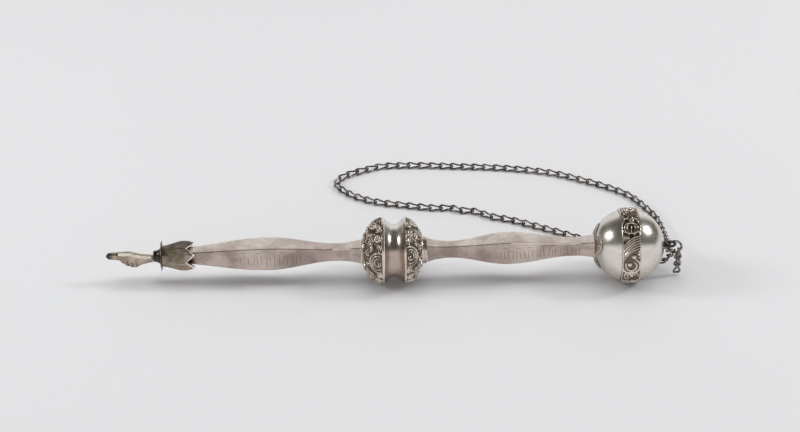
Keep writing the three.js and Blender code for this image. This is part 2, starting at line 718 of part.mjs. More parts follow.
// The chain's far turn, and from there its two runs over the floor to the ring.
const chainTurn = [-24.7, 84, chainHeight];
const farRun = toPoints([
  chainTurn, [-23.2, 89, chainHeight], [-19.1, 92.8, chainHeight], [-11.6, 97, chainHeight],
  [-3.1, 100.6, chainHeight], [14.4, 101.2, chainHeight], [33.6, 99.8, chainHeight], [52.8, 98.1, chainHeight],
  [62.4, 96.5, chainHeight], [71.9, 94.4, chainHeight], [81.2, 91.3, chainHeight], [90.4, 86.2, chainHeight],
  [99.5, 80.8, chainHeight], [108.3, 74.4, chainHeight], [113.4, 69.5, chainHeight], [118.6, 59.5, chainHeight],
  [122.3, 51.5, chainHeight], [124, 44, chainHeight], [124.5, 35, 2.4], [124.3, 25, 4.6], [123.8, 15, 7.8],
  [122.9, 6.5, 11],
]);
const nearRun = toPoints([
  chainTurn, [-23.5, 80, chainHeight], [-16.8, 72.3, chainHeight], [-7.6, 66.6, chainHeight],
  [8.9, 62.2, chainHeight], [22.4, 59.6, chainHeight], [28.9, 60, chainHeight], [32.8, 57.2, chainHeight],
  [39.4, 56.8, chainHeight], [46.7, 51.4, chainHeight], [54.9, 48.6, chainHeight], [63.9, 43.9, chainHeight],
  [77.2, 36.3, chainHeight], [91.4, 27.4, chainHeight], [105.4, 17.4, chainHeight], [114.4, 10.8, chainHeight],
  [119.8, 7, 2.8], [122.4, 4.2, 7],
]);

function neckChain() {
  return toGeometry(join([...runToRing(farRun, linkPitch, 215), ...runToRing(nearRun, linkPitch, 258)]));
}

// The tail hangs straight down from the ring to the floor.
function chainTail() {
  const side = ringMiddle.x + 0.55 * ringRadius;
  const foot = new THREE.Vector3(side, 0.6, linkWidth / 2);
  const below = new THREE.Vector3(side, 0.1, ringMiddle.z - 1.6 * ringRadius);
  return toGeometry(join(runToRing([foot, below], tailPitch, 303)));
}

function add(group, name, geometry, material) {
  const mesh = new THREE.Mesh(geometry, material);
  mesh.name = name;
  group.add(mesh);
}

add(pointer, 'pointing_hand', hand(), warm);
add(pointer, 'wrist_ferrule', ferrule(), blackened);
add(pointer, 'star_collar', starCollar(), silver);
add(pointer, 'leaf_cup', leafCup(), tarnished);
add(pointer, 'front_shaft', shaft(frontShaftAt, frontShaftLength, frontShaftSide), silver);
add(pointer, 'knop_front_dome', knopDome(-1, frontScrollTurn), chased);
add(pointer, 'knop_groove', knopGroove(), polished);
add(pointer, 'knop_rear_dome', knopDome(1, rearScrollTurn), chased);
add(pointer, 'rear_shaft', shaft(rearShaftAt, rearShaftLength, rearShaftSide), silver);
add(pointer, 'ball_calyx', calyx(), tarnished);
add(pointer, 'ball', ball(), polished);
add(pointer, 'ball_band', ballBand(), chased);
add(pointer, 'end_eye', endEye(), blackened);

const part = new THREE.Group();
part.add(pointer);
add(part, 'jump_ring', jumpRing(), oxidised);
add(part, 'neck_chain', neckChain(), oxidised);
add(part, 'chain_tail', chainTail(), oxidised);

export default part;
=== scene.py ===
"""A silver torah pointer that lies on its knop and ball, with its neck chain spread out behind it.

Metres, +Z up. X runs along the pointer from the fingertip to the ball, and the floor is Z = 0.
"""

import functools
import math
import random

import bmesh
import bpy
import numpy as np
from mathutils import Matrix, Vector


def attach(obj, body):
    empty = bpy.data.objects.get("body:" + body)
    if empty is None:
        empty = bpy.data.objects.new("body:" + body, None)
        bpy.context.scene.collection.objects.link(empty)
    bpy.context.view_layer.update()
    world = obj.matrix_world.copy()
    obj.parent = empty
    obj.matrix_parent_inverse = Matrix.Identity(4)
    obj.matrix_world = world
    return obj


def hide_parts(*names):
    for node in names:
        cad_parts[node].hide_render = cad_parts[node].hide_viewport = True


bl_info = {
    "name": "Torah Pointer",
    "version": (1, 0, 0),
    "blender": (4, 5, 0),
    "location": "View3D > Sidebar > Pointer",
    "description": "Builds a silver torah pointer with its neck chain on a pale floor",
    "category": "Add Mesh",
}

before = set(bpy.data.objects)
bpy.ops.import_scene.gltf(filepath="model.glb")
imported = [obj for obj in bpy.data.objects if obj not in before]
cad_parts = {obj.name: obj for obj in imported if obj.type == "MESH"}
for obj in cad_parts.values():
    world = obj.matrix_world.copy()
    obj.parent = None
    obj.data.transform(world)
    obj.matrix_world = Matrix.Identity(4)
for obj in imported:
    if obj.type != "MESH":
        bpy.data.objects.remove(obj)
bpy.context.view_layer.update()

MM = 0.001
TURN = 2 * math.pi
BODY = "root"

# How often the worked pieces repeat round the axis
STAR_RAYS = 10
CUP_LEAVES = 6
CUP_FLUTES = 66
CALYX_LEAVES = 4
DOME_MOTIFS = 4
BAND_MOTIFS = 3


def length(name, description, default):
    return bpy.props.FloatProperty(
        name=name, description=description, default=default, min=0, precision=5, unit="LENGTH"
    )


def colour(name, description, default):
    return bpy.props.FloatVectorProperty(
        name=name, description=description, default=default, size=3, min=0, max=1, subtype="COLOR"
    )


def plain(name, description, default):
    return bpy.props.FloatProperty(name=name, description=description, default=default)


class PointerSizes(bpy.types.PropertyGroup):
    """Sizes of the pieces along the pointer, as its solids have them."""

    seat_gap: length("Seat gap", "Clearance between pieces that are seated on each other", 0.25 * MM)
    hand_length: length("Hand length", "From the fingertip to the end of the wrist", 20.6 * MM)
    ferrule_length: length("Ferrule length", "Length of the dark collar behind the wrist", 3.1 * MM)
    star_thickness: length("Star thickness", "Thickness of the star plate", 0.6 * MM)
    star_radius: length("Star radius", "From the axis to the points of the star", 6.8 * MM)
    star_root_radius: length("Star root radius", "From the axis to the bottoms between the rays", 4.3 * MM)
    cup_length: length("Cup length", "From the cup's base to its leaf tips", 14.2 * MM)
    cup_front_radius: length("Cup base radius", "Radius of the cup at its base", 4.7 * MM)
    cup_shoulder_radius: length("Cup shoulder radius", "Radius of the cup at its widest", 6.6 * MM)
    cup_tip_radius: length("Cup tip radius", "Radius that the leaf tips close towards", 5.7 * MM)
    cup_notch: length("Cup notch", "Depth of the cuts between the leaf tips", 3.4 * MM)
    cup_wall: length("Cup wall", "Thickness of the leaves", 0.5 * MM)
    cup_floor: length("Cup floor", "Thickness of the cup's base", 0.8 * MM)
    front_shaft_length: length("Front shaft length", "Between the cup and the knop", 85.9 * MM)
    rear_shaft_length: length("Rear shaft length", "Between the knop and the ball", 73.3 * MM)
    front_start: length("Front shaft start", "Side of the front shaft inside the cup", 4.8 * MM)
    front_belly: length("Front belly", "Side of the front shaft at its fullest", 10.75 * MM)
    front_belly_at: length("Front belly place", "From the shaft's front end to its belly", 45.4 * MM)
    front_waist: length("Front waist", "Side of the front shaft at its waist", 5.85 * MM)
    front_waist_at: length("Front waist place", "From the shaft's front end to its waist", 75 * MM)
    front_end: length("Front shaft end", "Side of the front shaft at the knop", 8 * MM)
    rear_start: length("Rear shaft start", "Side of the rear shaft at the knop", 7.9 * MM)
    first_waist: length("First rear waist", "Side of the rear shaft behind the knop", 5.6 * MM)
    first_waist_at: length("First rear waist place", "From the shaft's front end to it", 10 * MM)
    rear_belly: length("Rear belly", "Side of the rear shaft at its fullest", 10.55 * MM)
    rear_belly_at: length("Rear belly place", "From the shaft's front end to its belly", 35.4 * MM)
    last_waist: length("Last rear waist", "Side of the rear shaft before the ball", 6.25 * MM)
    last_waist_at: length("Last rear waist place", "From the shaft's front end to it", 64 * MM)
    shaft_end: length("Rear shaft end", "Side of the rear shaft where it meets the ball", 7.6 * MM)
    arris: length("Arris", "Radius of the worn edges of the shafts", 0.4 * MM)
    knop_radius: length("Knop radius", "Radius of the knop's domes at their rims", 14.7 * MM)
    knop_collar_radius: length("Knop collar radius", "Radius of the collars round the shafts", 6.1 * MM)
    dome_length: length("Dome length", "Length of each dome with its collar", 10 * MM)
    front_dome_span: length("Front dome span", "From its rim to where its curve would end", 10.75 * MM)
    front_dome_fullness: plain("Front dome fullness", "2 would be a plain ellipse", 1.85)
    rear_dome_span: length("Rear dome span", "From its rim to where its curve would end", 9.5 * MM)
    rear_dome_fullness: plain("Rear dome fullness", "2 would be a plain ellipse", 1.7)
    rim_width: length("Rim width", "Width of the smooth edge beside the groove", 0.9 * MM)
    groove_width: length("Groove width", "Width of the polished groove", 8.2 * MM)
    groove_depth: length("Groove depth", "Depth of the polished groove", 2.7 * MM)
    knop_flat: length("Knop flat", "How deep the floor cuts the knop's rim", 0.15 * MM)
    ball_radius: length("Ball radius", "Radius of the globe", 15.9 * MM)
    band_radius: length("Band radius", "Radius of the band's edges", 16.35 * MM)
    band_width: length("Band width", "Width of the band", 8.3 * MM)
    band_thickness: length("Band thickness", "Thickness of the band", 0.95 * MM)
    band_edge_width: length("Band edge width", "Width of the band's plain edges", 0.5 * MM)
    band_flat: length("Band flat", "How deep the floor cuts the band", 0.22 * MM)
    calyx_radius: length("Calyx radius", "From the axis to the tips of the leaves on the ball", 10.3 * MM)
    eye_radius: length("Eye radius", "Radius of the eye, at the middle of its wire", 2.0 * MM)
    eye_wire: length("Eye wire", "Radius of the eye's wire", 0.6 * MM)
    eye_foot_radius: length("Eye foot radius", "Radius of the foot under the eye", 2.4 * MM)
    eye_foot_thickness: length("Eye foot thickness", "Thickness of the foot under the eye", 0.8 * MM)
    ring_radius: length("Ring radius", "Radius of the ring, at the middle of its wire", 2.9 * MM)
    ring_wire: length("Ring wire", "Radius of the ring's wire", 0.5 * MM)


class CarvingSizes(bpy.types.PropertyGroup):
    """Heights of the chased and engraved work."""

    field_depth: length("Field depth", "How deep the carved fields lie below the plain edges", 0.35 * MM)
    dome_relief: length("Dome relief", "Height of the scrolls over the field of the domes", 0.8 * MM)
    band_relief: length("Band relief", "Height of the motifs over the field of the band", 0.72 * MM)
    front_scroll_turn: plain("Front scroll turn", "Turn of one scroll of the front dome, in radians", 1.43)
    rear_scroll_turn: plain("Rear scroll turn", "Turn of one scroll of the rear dome, in radians", 1.24)
    band_turn: plain("Band turn", "Turn of one roundel of the band, in radians", 0.56)
    stroke_depth: length("Stroke depth", "Depth of the strokes engraved in the shafts", 0.1 * MM)
    stroke_width: length("Stroke width", "Width of the strokes engraved in the shafts", 0.45 * MM)


class ChainSizes(bpy.types.PropertyGroup):
    """Sizes of the chain's links and of its route."""

    wire: length("Wire", "Radius of the links' wire", 0.42 * MM)
    pitch: length("Pitch", "From one link's bar to the next", 5.2 * MM)
    tail_pitch: length("Tail pitch", "From one bar to the next in the tail", 3.4 * MM)
    width: length("Width", "Width of a link over its bar", 3.3 * MM)
    lift: length("Lift", "From the middle of a bar to the wires over and under it", 0.9 * MM)
    lean: plain("Lean", "Degrees that the links lean to the front where they run sideways", 45)
    length: length("Length", "Length of the chain from the ring round to the ring", 385 * MM)
    twist_links: bpy.props.IntProperty(
        name="Twist links", description="Links over which a run turns to meet the ring", default=4
    )
    link_gap: length("Link gap", "Clearance between the ring and the links in it", 0.25 * MM)


class FinishColours(bpy.types.PropertyGroup):
    """Colours of the worn, polished, tarnished and blackened silver, and of the shade and highlights
    painted on it.
    """

    # The upper faces' colours are the lit copy of the shafts' silver; face and the dull face colour are a
    # darker copy painted on the front and lower faces as shade, and face is also the silver between the
    # tarnish streaks of the cup and calyx
    worn: colour("Worn silver", "Bright places of the shafts' upper faces", (0.8, 0.72, 0.65))
    worn_dull: colour("Dull silver", "Dull places of the shafts' upper faces", (0.6, 0.5, 0.45))
    face: colour("Tarnished face", "Bright places of the shafts' front and lower faces", (0.58, 0.48, 0.43))
    painted_shade_dull: colour("Dull face", "Dull places of the shafts' front and lower faces", (0.35, 0.275, 0.25))
    polished: colour("Polished silver", "The ball and the groove", (0.8, 0.75, 0.7))
    polished_dull: colour("Hazy silver", "Faint haze on the polished pieces", (0.68, 0.62, 0.57))
    # Painted highlight: a pale cream put on the hand's flat, the shafts' upper front edges, the cup's leaf
    # tips and the calyx's ribs
    bright: colour("Bright edges", "Edges that are rubbed bright", (0.97, 0.89, 0.79))
    chased: colour("Chased silver", "The raised parts of the chased work", (0.76, 0.68, 0.6))
    recess: colour("Recesses", "The dark in the chased work's hollows", (0.16, 0.13, 0.105))
    tarnish: colour("Brown tarnish", "Brown tarnish of the cup and the calyx", (0.33, 0.26, 0.2))
    tarnish_green: colour("Olive tarnish", "Olive tarnish of the cup and the calyx", (0.19, 0.18, 0.1))
    # tarnish_pink is also painted on the front and lower side of the knop's groove as a pinkish reflection
    tarnish_pink: colour("Pink tarnish", "Pinkish places of the cup", (0.5, 0.4, 0.34))
    warm: colour("Warm silver", "The bright places of the hand", (0.6, 0.5, 0.4))
    warm_dull: colour("Warm dull silver", "The dull places of the hand", (0.36, 0.29, 0.23))
    blackened: colour("Blackened silver", "The ferrule and the eye", (0.07, 0.06, 0.055))
    oxidised: colour("Oxidised silver", "The dark of the chain", (0.12, 0.1, 0.09))
    oxidised_bright: colour("Rubbed oxide", "Rubbed places of the chain", (0.45, 0.4, 0.36))
    floor: colour("Floor", "The pale floor", (0.82, 0.825, 0.85))


class StageSettings(bpy.types.PropertyGroup):
    """Camera and light."""

    azimuth: plain("Azimuth", "Degrees that the camera looks to the right of straight on", 1.15)
    elevation: plain("Elevation", "Degrees that the camera stands above the floor", 30)
    distance: length("Distance", "From the camera to the point that it looks at", 1.03226)
    target: bpy.props.FloatVectorProperty(
        name="Target",
        description="The point of the floor that the camera looks at",
        default=(0.00484, 0.0554, 0.0),
        subtype="TRANSLATION",
        unit="LENGTH",
    )
    lens: plain("Lens", "Focal length in millimetres on a 36 mm sensor", 100)
    room: colour("Room", "The dark parts of the room", (0.115, 0.115, 0.105))
    wall: colour("Wall", "The pale wall and board", (0.84, 0.84, 0.85))
    light_distance: length("Light distance", "From the ball to the soft lights", 1.5)
    light_size: length("Light size", "Width of the soft lights", 0.32)
    left_power: plain("Left power", "Power of the left light in watts", 4.4)
    right_power: plain("Right power", "Power of the right light in watts", 5.7)
    wide_size: length("Wide size", "Width of the screens before the soft lights", 1.3)
    wide_power: plain("Wide power", "Power of each screen in watts", 3.7)
    fill_size: length("Fill size", "Width of the fill light overhead", 1.6)
    fill_power: plain("Fill power", "Power of the fill light in watts", 9.4)


class Stations:
    """Places along the pointer's axis, from the fingertip, and the pointer's place over the floor."""

    def __init__(self, sizes):
        gap = sizes.seat_gap
        self.ferrule = sizes.hand_length + gap
        self.star = self.ferrule + sizes.ferrule_length + gap
        self.cup = self.star + sizes.star_thickness + gap
        self.front_shaft = self.cup + sizes.cup_floor + gap
        self.front_collar = self.front_shaft + sizes.front_shaft_length + gap
        self.front_rim = self.front_collar + sizes.dome_length
        self.groove = self.front_rim + gap
        self.rear_rim = self.groove + sizes.groove_width + gap
        self.rear_collar = self.rear_rim + sizes.dome_length
        self.rear_shaft = self.rear_collar + gap
        self.ball_seat = self.rear_shaft + sizes.rear_shaft_length + gap
        self.seat_radius = sizes.shaft_end * math.sqrt(0.5) + sizes.arris
        self.ball = self.ball_seat + math.sqrt(sizes.ball_radius**2 - self.seat_radius**2)
        self.ball_rear = self.ball + math.sqrt(sizes.ball_radius**2 - sizes.eye_foot_radius**2)
        self.eye_foot = self.ball_rear + gap
        self.eye = self.eye_foot + sizes.eye_foot_thickness + sizes.eye_radius
        self.end = self.eye + sizes.eye_radius + sizes.eye_wire
        rest = self.rear_rim + sizes.rim_width / 2
        rise = sizes.band_radius - sizes.band_flat - (sizes.knop_radius - sizes.knop_flat)
        climb = math.asin(rise / (self.ball - rest))
        height = sizes.knop_radius - sizes.knop_flat - rest * math.sin(climb)
        place = Vector((-self.end / 2 * math.cos(climb), 0, height))
        self.pointer = Matrix.Translation(place) @ Matrix.Rotation(-climb, 4, "Y")
        self.ring = self.pointer @ Vector((self.eye + sizes.eye_radius, 0, 0))
        self.ring.z += sizes.eye_wire + bpy.context.scene.pointer_chain.link_gap
        self.ring.z += sizes.ring_wire - sizes.ring_radius


class Finish:
    """A node material of one finish, put together from the left to the right."""

    def __init__(self, name):
        self.material = bpy.data.materials.new(name)
        self.material.use_nodes = True
        self.tree = self.material.node_tree
        self.shader = self.tree.nodes["Principled BSDF"]
        coordinates = self.tree.nodes.new("ShaderNodeTexCoord")
        self.place = coordinates.outputs["Object"]

    def node(self, kind, **settings):
        node = self.tree.nodes.new(kind)
        for key, value in settings.items():
            setattr(node, key, value)
        return node

    def link(self, source, target):
        self.tree.links.new(source, target)

    def noise(self, scale, detail=4, stretch=(1, 1, 1), roughness=0.55):
        mapping = self.node("ShaderNodeMapping")
        mapping.inputs["Scale"].default_value = stretch
        self.link(self.place, mapping.inputs["Vector"])
        noise = self.node("ShaderNodeTexNoise")
        noise.inputs["Scale"].default_value = scale
        noise.inputs["Detail"].default_value = detail
        noise.inputs["Roughness"].default_value = roughness
        self.link(mapping.outputs["Vector"], noise.inputs["Vector"])
        return noise.outputs["Fac"]

    def ranged(self, value, low, high, to_low=0.0, to_high=1.0):
        node = self.node("ShaderNodeMapRange", interpolation_type="SMOOTHSTEP")
        for key, number in (("From Min", low), ("From Max", high), ("To Min", to_low), ("To Max", to_high)):
            node.inputs[key].default_value = number
        self.link(value, node.inputs["Value"])
        return node.outputs["Result"]

    def patches(self, scale, low, high, to_low=0.0, to_high=1.0, **settings):
        """Noise over a range, as soft patches."""
        return self.ranged(self.noise(scale, **settings), low, high, to_low, to_high)

    def mix(self, share, first, second):
        node = self.node("ShaderNodeMix", data_type="RGBA")
        for key, source in ((0, share), (6, first), (7, second)):
            if isinstance(source, bpy.types.NodeSocket):
                self.link(source, node.inputs[key])
            else:
                node.inputs[key].default_value = (*source, 1)
        return node.outputs[2]

    def attribute(self, name):
        return self.node("ShaderNodeAttribute", attribute_name=name).outputs["Fac"]

    def bump(self, value, depth, strength=1.0, under=None):
        node = self.node("ShaderNodeBump")
        node.inputs["Strength"].default_value = strength
        node.inputs["Distance"].default_value = depth
        self.link(value, node.inputs["Height"])
        if under is not None:
            self.link(under, node.inputs["Normal"])
        return node.outputs["Normal"]


def metal(finish, tint, roughness, normal=None):
    """Ends a finish as a metal of that colour and roughness."""
    finish.shader.inputs["Metallic"].default_value = 1
    finish.link(tint, finish.shader.inputs["Base Color"])
    finish.link(roughness, finish.shader.inputs["Roughness"])
    if normal is not None:
        finish.link(normal, finish.shader.inputs["Normal"])
    return finish.material


def scratches(finish, depth):
    """Fine wear in two directions, from handling."""
    across = finish.noise(900, detail=3, stretch=(1, 0.12, 0.12))
    along = finish.noise(700, detail=3, stretch=(0.08, 1, 1))
    first = finish.bump(across, depth, 0.5)
    return finish.bump(along, depth, 0.4, under=first)


def worn_silver_and_painted_shade(colours):
    finish = Finish("worn_silver_and_painted_shade")
    cloud = finish.patches(95, 0.34, 0.66, detail=5)
    stain = finish.patches(260, 0.52, 0.72, detail=6, stretch=(0.4, 1, 1))
    tint = finish.mix(cloud, colours.worn_dull, colours.worn)
    tint = finish.mix(finish.ranged(stain, 0, 1, 0, 0.5), tint, colours.worn_dull)
    # A darker copy of the silver, painted on the front and lower faces as shade
    painted_shade_cloud = finish.mix(cloud, colours.painted_shade_dull, colours.face)
    painted_shade_cloud = finish.mix(finish.ranged(stain, 0, 1, 0, 0.6), painted_shade_cloud, colours.painted_shade_dull)
    tint = finish.mix(finish.ranged(finish.attribute("dull_face"), 0.3, 0.7), tint, painted_shade_cloud)
    cut = finish.ranged(finish.attribute("relief"), 0.0, 0.9, 0.35, 1)
    tint = finish.mix(cut, colours.recess, tint)
    roughness = finish.patches(420, 0.3, 0.7, 0.24, 0.4, detail=5)
    return metal(finish, tint, roughness, scratches(finish, 0.02 * MM))


def polished_silver(colours):
    finish = Finish("polished_silver")
    haze = finish.patches(60, 0.4, 0.75, detail=5)
    spots = finish.patches(380, 0.6, 0.72, 0, 0.45, detail=6, stretch=(0.5, 1, 0.5))
    tint = finish.mix(haze, colours.polished, colours.polished_dull)
    tint = finish.mix(spots, tint, colours.polished_dull)
    # A pinkish reflection painted on the groove's front and lower side
    painted_reflection_veil = finish.ranged(finish.attribute("dull_face"), 0.1, 0.8, 0, 0.9)
    tint = finish.mix(painted_reflection_veil, tint, colours.tarnish_pink)
    roughness = finish.patches(300, 0.35, 0.75, 0.24, 0.29, detail=6)
    return metal(finish, tint, roughness, scratches(finish, 0.004 * MM))


def chased_silver(colours):
    finish = Finish("chased_silver")
    depth = finish.attribute("relief")
    grime = finish.noise(700, detail=6)
    level = finish.node("ShaderNodeMath", operation="MULTIPLY_ADD")
    level.inputs[1].default_value = 0.5
    finish.link(grime, level.inputs[0])
    finish.link(depth, level.inputs[2])
    top = finish.ranged(level.outputs[0], 0.3, 1.0)
    brown = finish.patches(160, 0.45, 0.7, 0, 0.65, detail=4)
    raised = finish.mix(brown, colours.chased, colours.tarnish_pink)
    tint = finish.mix(top, colours.recess, raised)
    roughness = finish.patches(500, 0.3, 0.7, 0.18, 0.32, detail=4)
    grain = finish.noise(2600, detail=3)
    return metal(finish, tint, roughness, finish.bump(grain, 0.03 * MM, 0.5))


def tarnished_silver(colours):
    finish = Finish("tarnished_silver")
    streak = finish.patches(760, 0.34, 0.66, detail=5, stretch=(0.09, 1, 1))
    patch = finish.patches(150, 0.42, 0.66, detail=4)
    tint = finish.mix(streak, colours.tarnish, colours.face)
    tint = finish.mix(finish.ranged(patch, 0, 1, 0, 0.75), tint, colours.tarnish_green)
    raised = finish.ranged(finish.attribute("relief"), 0.0, 0.85)
    tint = finish.mix(raised, colours.recess, tint)
    # Painted highlight on the cup's leaf tips and the calyx's ribs
    edge = finish.ranged(finish.attribute("worn_edge"), 0.3, 0.9)
    tint = finish.mix(edge, tint, colours.bright)
    roughness = finish.patches(500, 0.3, 0.7, 0.26, 0.44, detail=4)
    return metal(finish, tint, roughness, scratches(finish, 0.03 * MM))


def warm_silver(colours):
    finish = Finish("warm_silver")
    cloud = finish.patches(240, 0.36, 0.64, detail=5)
    tint = finish.mix(cloud, colours.warm_dull, colours.warm)
    grime = finish.patches(520, 0.52, 0.7, 0, 0.75, detail=5)
    tint = finish.mix(grime, tint, colours.tarnish)
    # Painted highlight along the hand's flat strip
    edge = finish.ranged(finish.attribute("worn_edge"), 0.3, 0.9)
    tint = finish.mix(edge, tint, colours.bright)
    # The fingertip, the knuckle creases and the folds between the curled fingers are darkened towards the
    # blackened colour
    tip = finish.ranged(finish.attribute("grimy"), 0.1, 0.9)
    tint = finish.mix(tip, tint, colours.blackened)
    roughness = finish.patches(500, 0.3, 0.7, 0.2, 0.36, detail=4)
    return metal(finish, tint, roughness, scratches(finish, 0.03 * MM))


def rubbed_silver(colours):
    """Painted highlight: a pale cream, barely metallic finish on the faces where highlights fall."""
    finish = Finish("rubbed_silver")
    cloud = finish.patches(300, 0.4, 0.75, 0, 0.6, detail=4)
    tint = finish.mix(cloud, colours.bright, colours.warm)
    roughness = finish.patches(420, 0.3, 0.7, 0.3, 0.4, detail=3)
    material = metal(finish, tint, roughness)
    finish.shader.inputs["Metallic"].default_value = 0.2
    return material


def blackened_silver(colours):
    finish = Finish("blackened_silver")
    rubbed = finish.patches(900, 0.56, 0.72, detail=5)
    tint = finish.mix(rubbed, colours.blackened, colours.oxidised_bright)
    roughness = finish.patches(700, 0.3, 0.7, 0.25, 0.5, detail=4)
    return metal(finish, tint, roughness, finish.bump(finish.noise(2200), 0.04 * MM, 0.6))


def oxidised_silver(colours):
    finish = Finish("oxidised_silver")
    rubbed = finish.patches(620, 0.42, 0.66, detail=5)
    tint = finish.mix(rubbed, colours.oxidised, colours.oxidised_bright)
    roughness = finish.patches(900, 0.3, 0.7, 0.2, 0.4, detail=4)
    return metal(finish, tint, roughness, finish.bump(finish.noise(2400), 0.03 * MM, 0.5))


FINISHES = {
    "silver": worn_silver_and_painted_shade,
    "polished_silver": polished_silver,
    "chased_silver": chased_silver,
    "tarnished_silver": tarnished_silver,
    "warm_silver": warm_silver,
    "rubbed_silver": rubbed_silver,
    "blackened_silver": blackened_silver,
    "oxidised_silver": oxidised_silver,
}


@functools.cache
def finish_of(slot):
    """The material of a slot, made when it is first asked for."""
    return FINISHES[slot](bpy.context.scene.pointer_colours)


def grid_sheet(columns, rows, place):
    """A sheet of columns by rows faces. place gives its points and named values for each of them,
    from their shares along and round."""
    bm = bmesh.new()
    bmesh.ops.create_grid(bm, x_segments=columns, y_segments=rows, size=0.5)
    shares = np.array([vert.co[:2] for vert in bm.verts]) + 0.5
    points, values = place(shares[:, 0], shares[:, 1])
    layers = {name: bm.verts.layers.float.new(name) for name in values}
    for vert, point in zip(bm.verts, points):
        vert.co = point
    for name, numbers in values.items():
        for vert, number in zip(bm.verts, numbers):
            vert[layers[name]] = number
    bmesh.ops.remove_doubles(bm, verts=bm.verts, dist=1e-6)
    return bm


def close_ends(bm):
    """Fills the open loops of a tube, each with a face."""
    open_edges = [edge for edge in bm.edges if edge.is_boundary]
    bmesh.ops.holes_fill(bm, edges=open_edges, sides=0)


def close_ring(bm):
    """Joins the two open loops of a tube to each other."""
    open_edges = [edge for edge in bm.edges if edge.is_boundary]
    bmesh.ops.bridge_loops(bm, edges=open_edges)


def round_axis(along, radius, turn):
    """Points at those places along the axis, radii and turns from the top towards the front."""
    return np.stack([along, -radius * np.sin(turn), radius * np.cos(turn)], axis=1)


def turned_shape(profile, sides):
    """Spins a profile of (along, radius) pairs, which starts and ends on the axis, into a solid."""
    bm = bmesh.new()
    verts = [bm.verts.new((along, 0, radius)) for along, radius in profile]
    edges = [bm.edges.new(pair) for pair in zip(verts, verts[1:])]
    bmesh.ops.spin(
        bm, geom=verts + edges, axis=(1, 0, 0), cent=(0, 0, 0), angle=TURN, steps=sides, use_merge=True
    )
    bmesh.ops.remove_doubles(bm, verts=bm.verts, dist=1e-6)
    return bm


def hoop(radius, wire, axis, start, steps):
    """A round ring of round wire about the origin."""
    bm = bmesh.new()
    made = bmesh.ops.create_circle(bm, segments=16, radius=wire)
    turn = Vector((0, 0, 1)).rotation_difference(Vector(axis).cross(Vector(start)))
    place = Matrix.Translation(Vector(start) * radius) @ turn.to_matrix().to_4x4()
    bmesh.ops.transform(bm, matrix=place, verts=made["verts"])
    geometry = list(bm.verts) + list(bm.edges)
    bmesh.ops.spin(bm, geom=geometry, axis=axis, cent=(0, 0, 0), angle=TURN, steps=steps, use_merge=True)
    bmesh.ops.remove_doubles(bm, verts=bm.verts, dist=1e-6)
    return bm


# Share of the painted highlight value over which a face takes the painted highlight finish
HIGHLIGHT_THROUGH = 0.4


def finish_piece(bm, name, slot, node, matrix, on_floor=False, sharp=40):
    """Places a mesh, cuts it flat at the floor where it stands on it, smooths it, gives it its finish
    and puts it in its node's stead."""
    bmesh.ops.transform(bm, matrix=matrix, verts=bm.verts)
    if on_floor:
        geometry = list(bm.verts) + list(bm.edges) + list(bm.faces)
        bmesh.ops.bisect_plane(
            bm, geom=geometry, plane_co=(0, 0, 0), plane_no=(0, 0, -1), clear_outer=True, dist=1e-7
        )
        close_ends(bm)
    bmesh.ops.recalc_face_normals(bm, faces=bm.faces)
    limit = math.radians(sharp)
    # Faces wholly in the painted highlight take the painted highlight finish as their second material
    rubbed = bm.verts.layers.float.get("rubbed")
    for face in bm.faces:
        face.smooth = True
        if rubbed is not None and min(vert[rubbed] for vert in face.verts) > HIGHLIGHT_THROUGH:
            face.material_index = 1
    for edge in bm.edges:
        edge.smooth = not (edge.is_manifold and edge.calc_face_angle() > limit)
    mesh = bpy.data.meshes.new(name)
    bm.to_mesh(mesh)
    bm.free()
    return finish_mesh(mesh, name, slot, node)


def finish_mesh(mesh, name, slot, node):
    """Makes the object of a finished mesh."""
    mesh.materials.append(finish_of(slot))
    # Pieces with a painted highlight take its finish as their second material
    if "rubbed" in mesh.attributes:
        mesh.materials.append(finish_of("rubbed_silver"))
    piece = bpy.data.objects.new(name, mesh)
    bpy.context.scene.collection.objects.link(piece)
    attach(piece, BODY)
    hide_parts(node)
    return piece


def ease(start, end, share):
    """Half of a cosine wave from one value to another."""
    return start + (end - start) * (0.5 - 0.5 * np.cos(np.pi * np.clip(share, 0, 1)))


def ramp(share):
    """A smooth step from 0 to 1."""
    share = np.clip(share, 0, 1)
    return share * share * (3 - 2 * share)


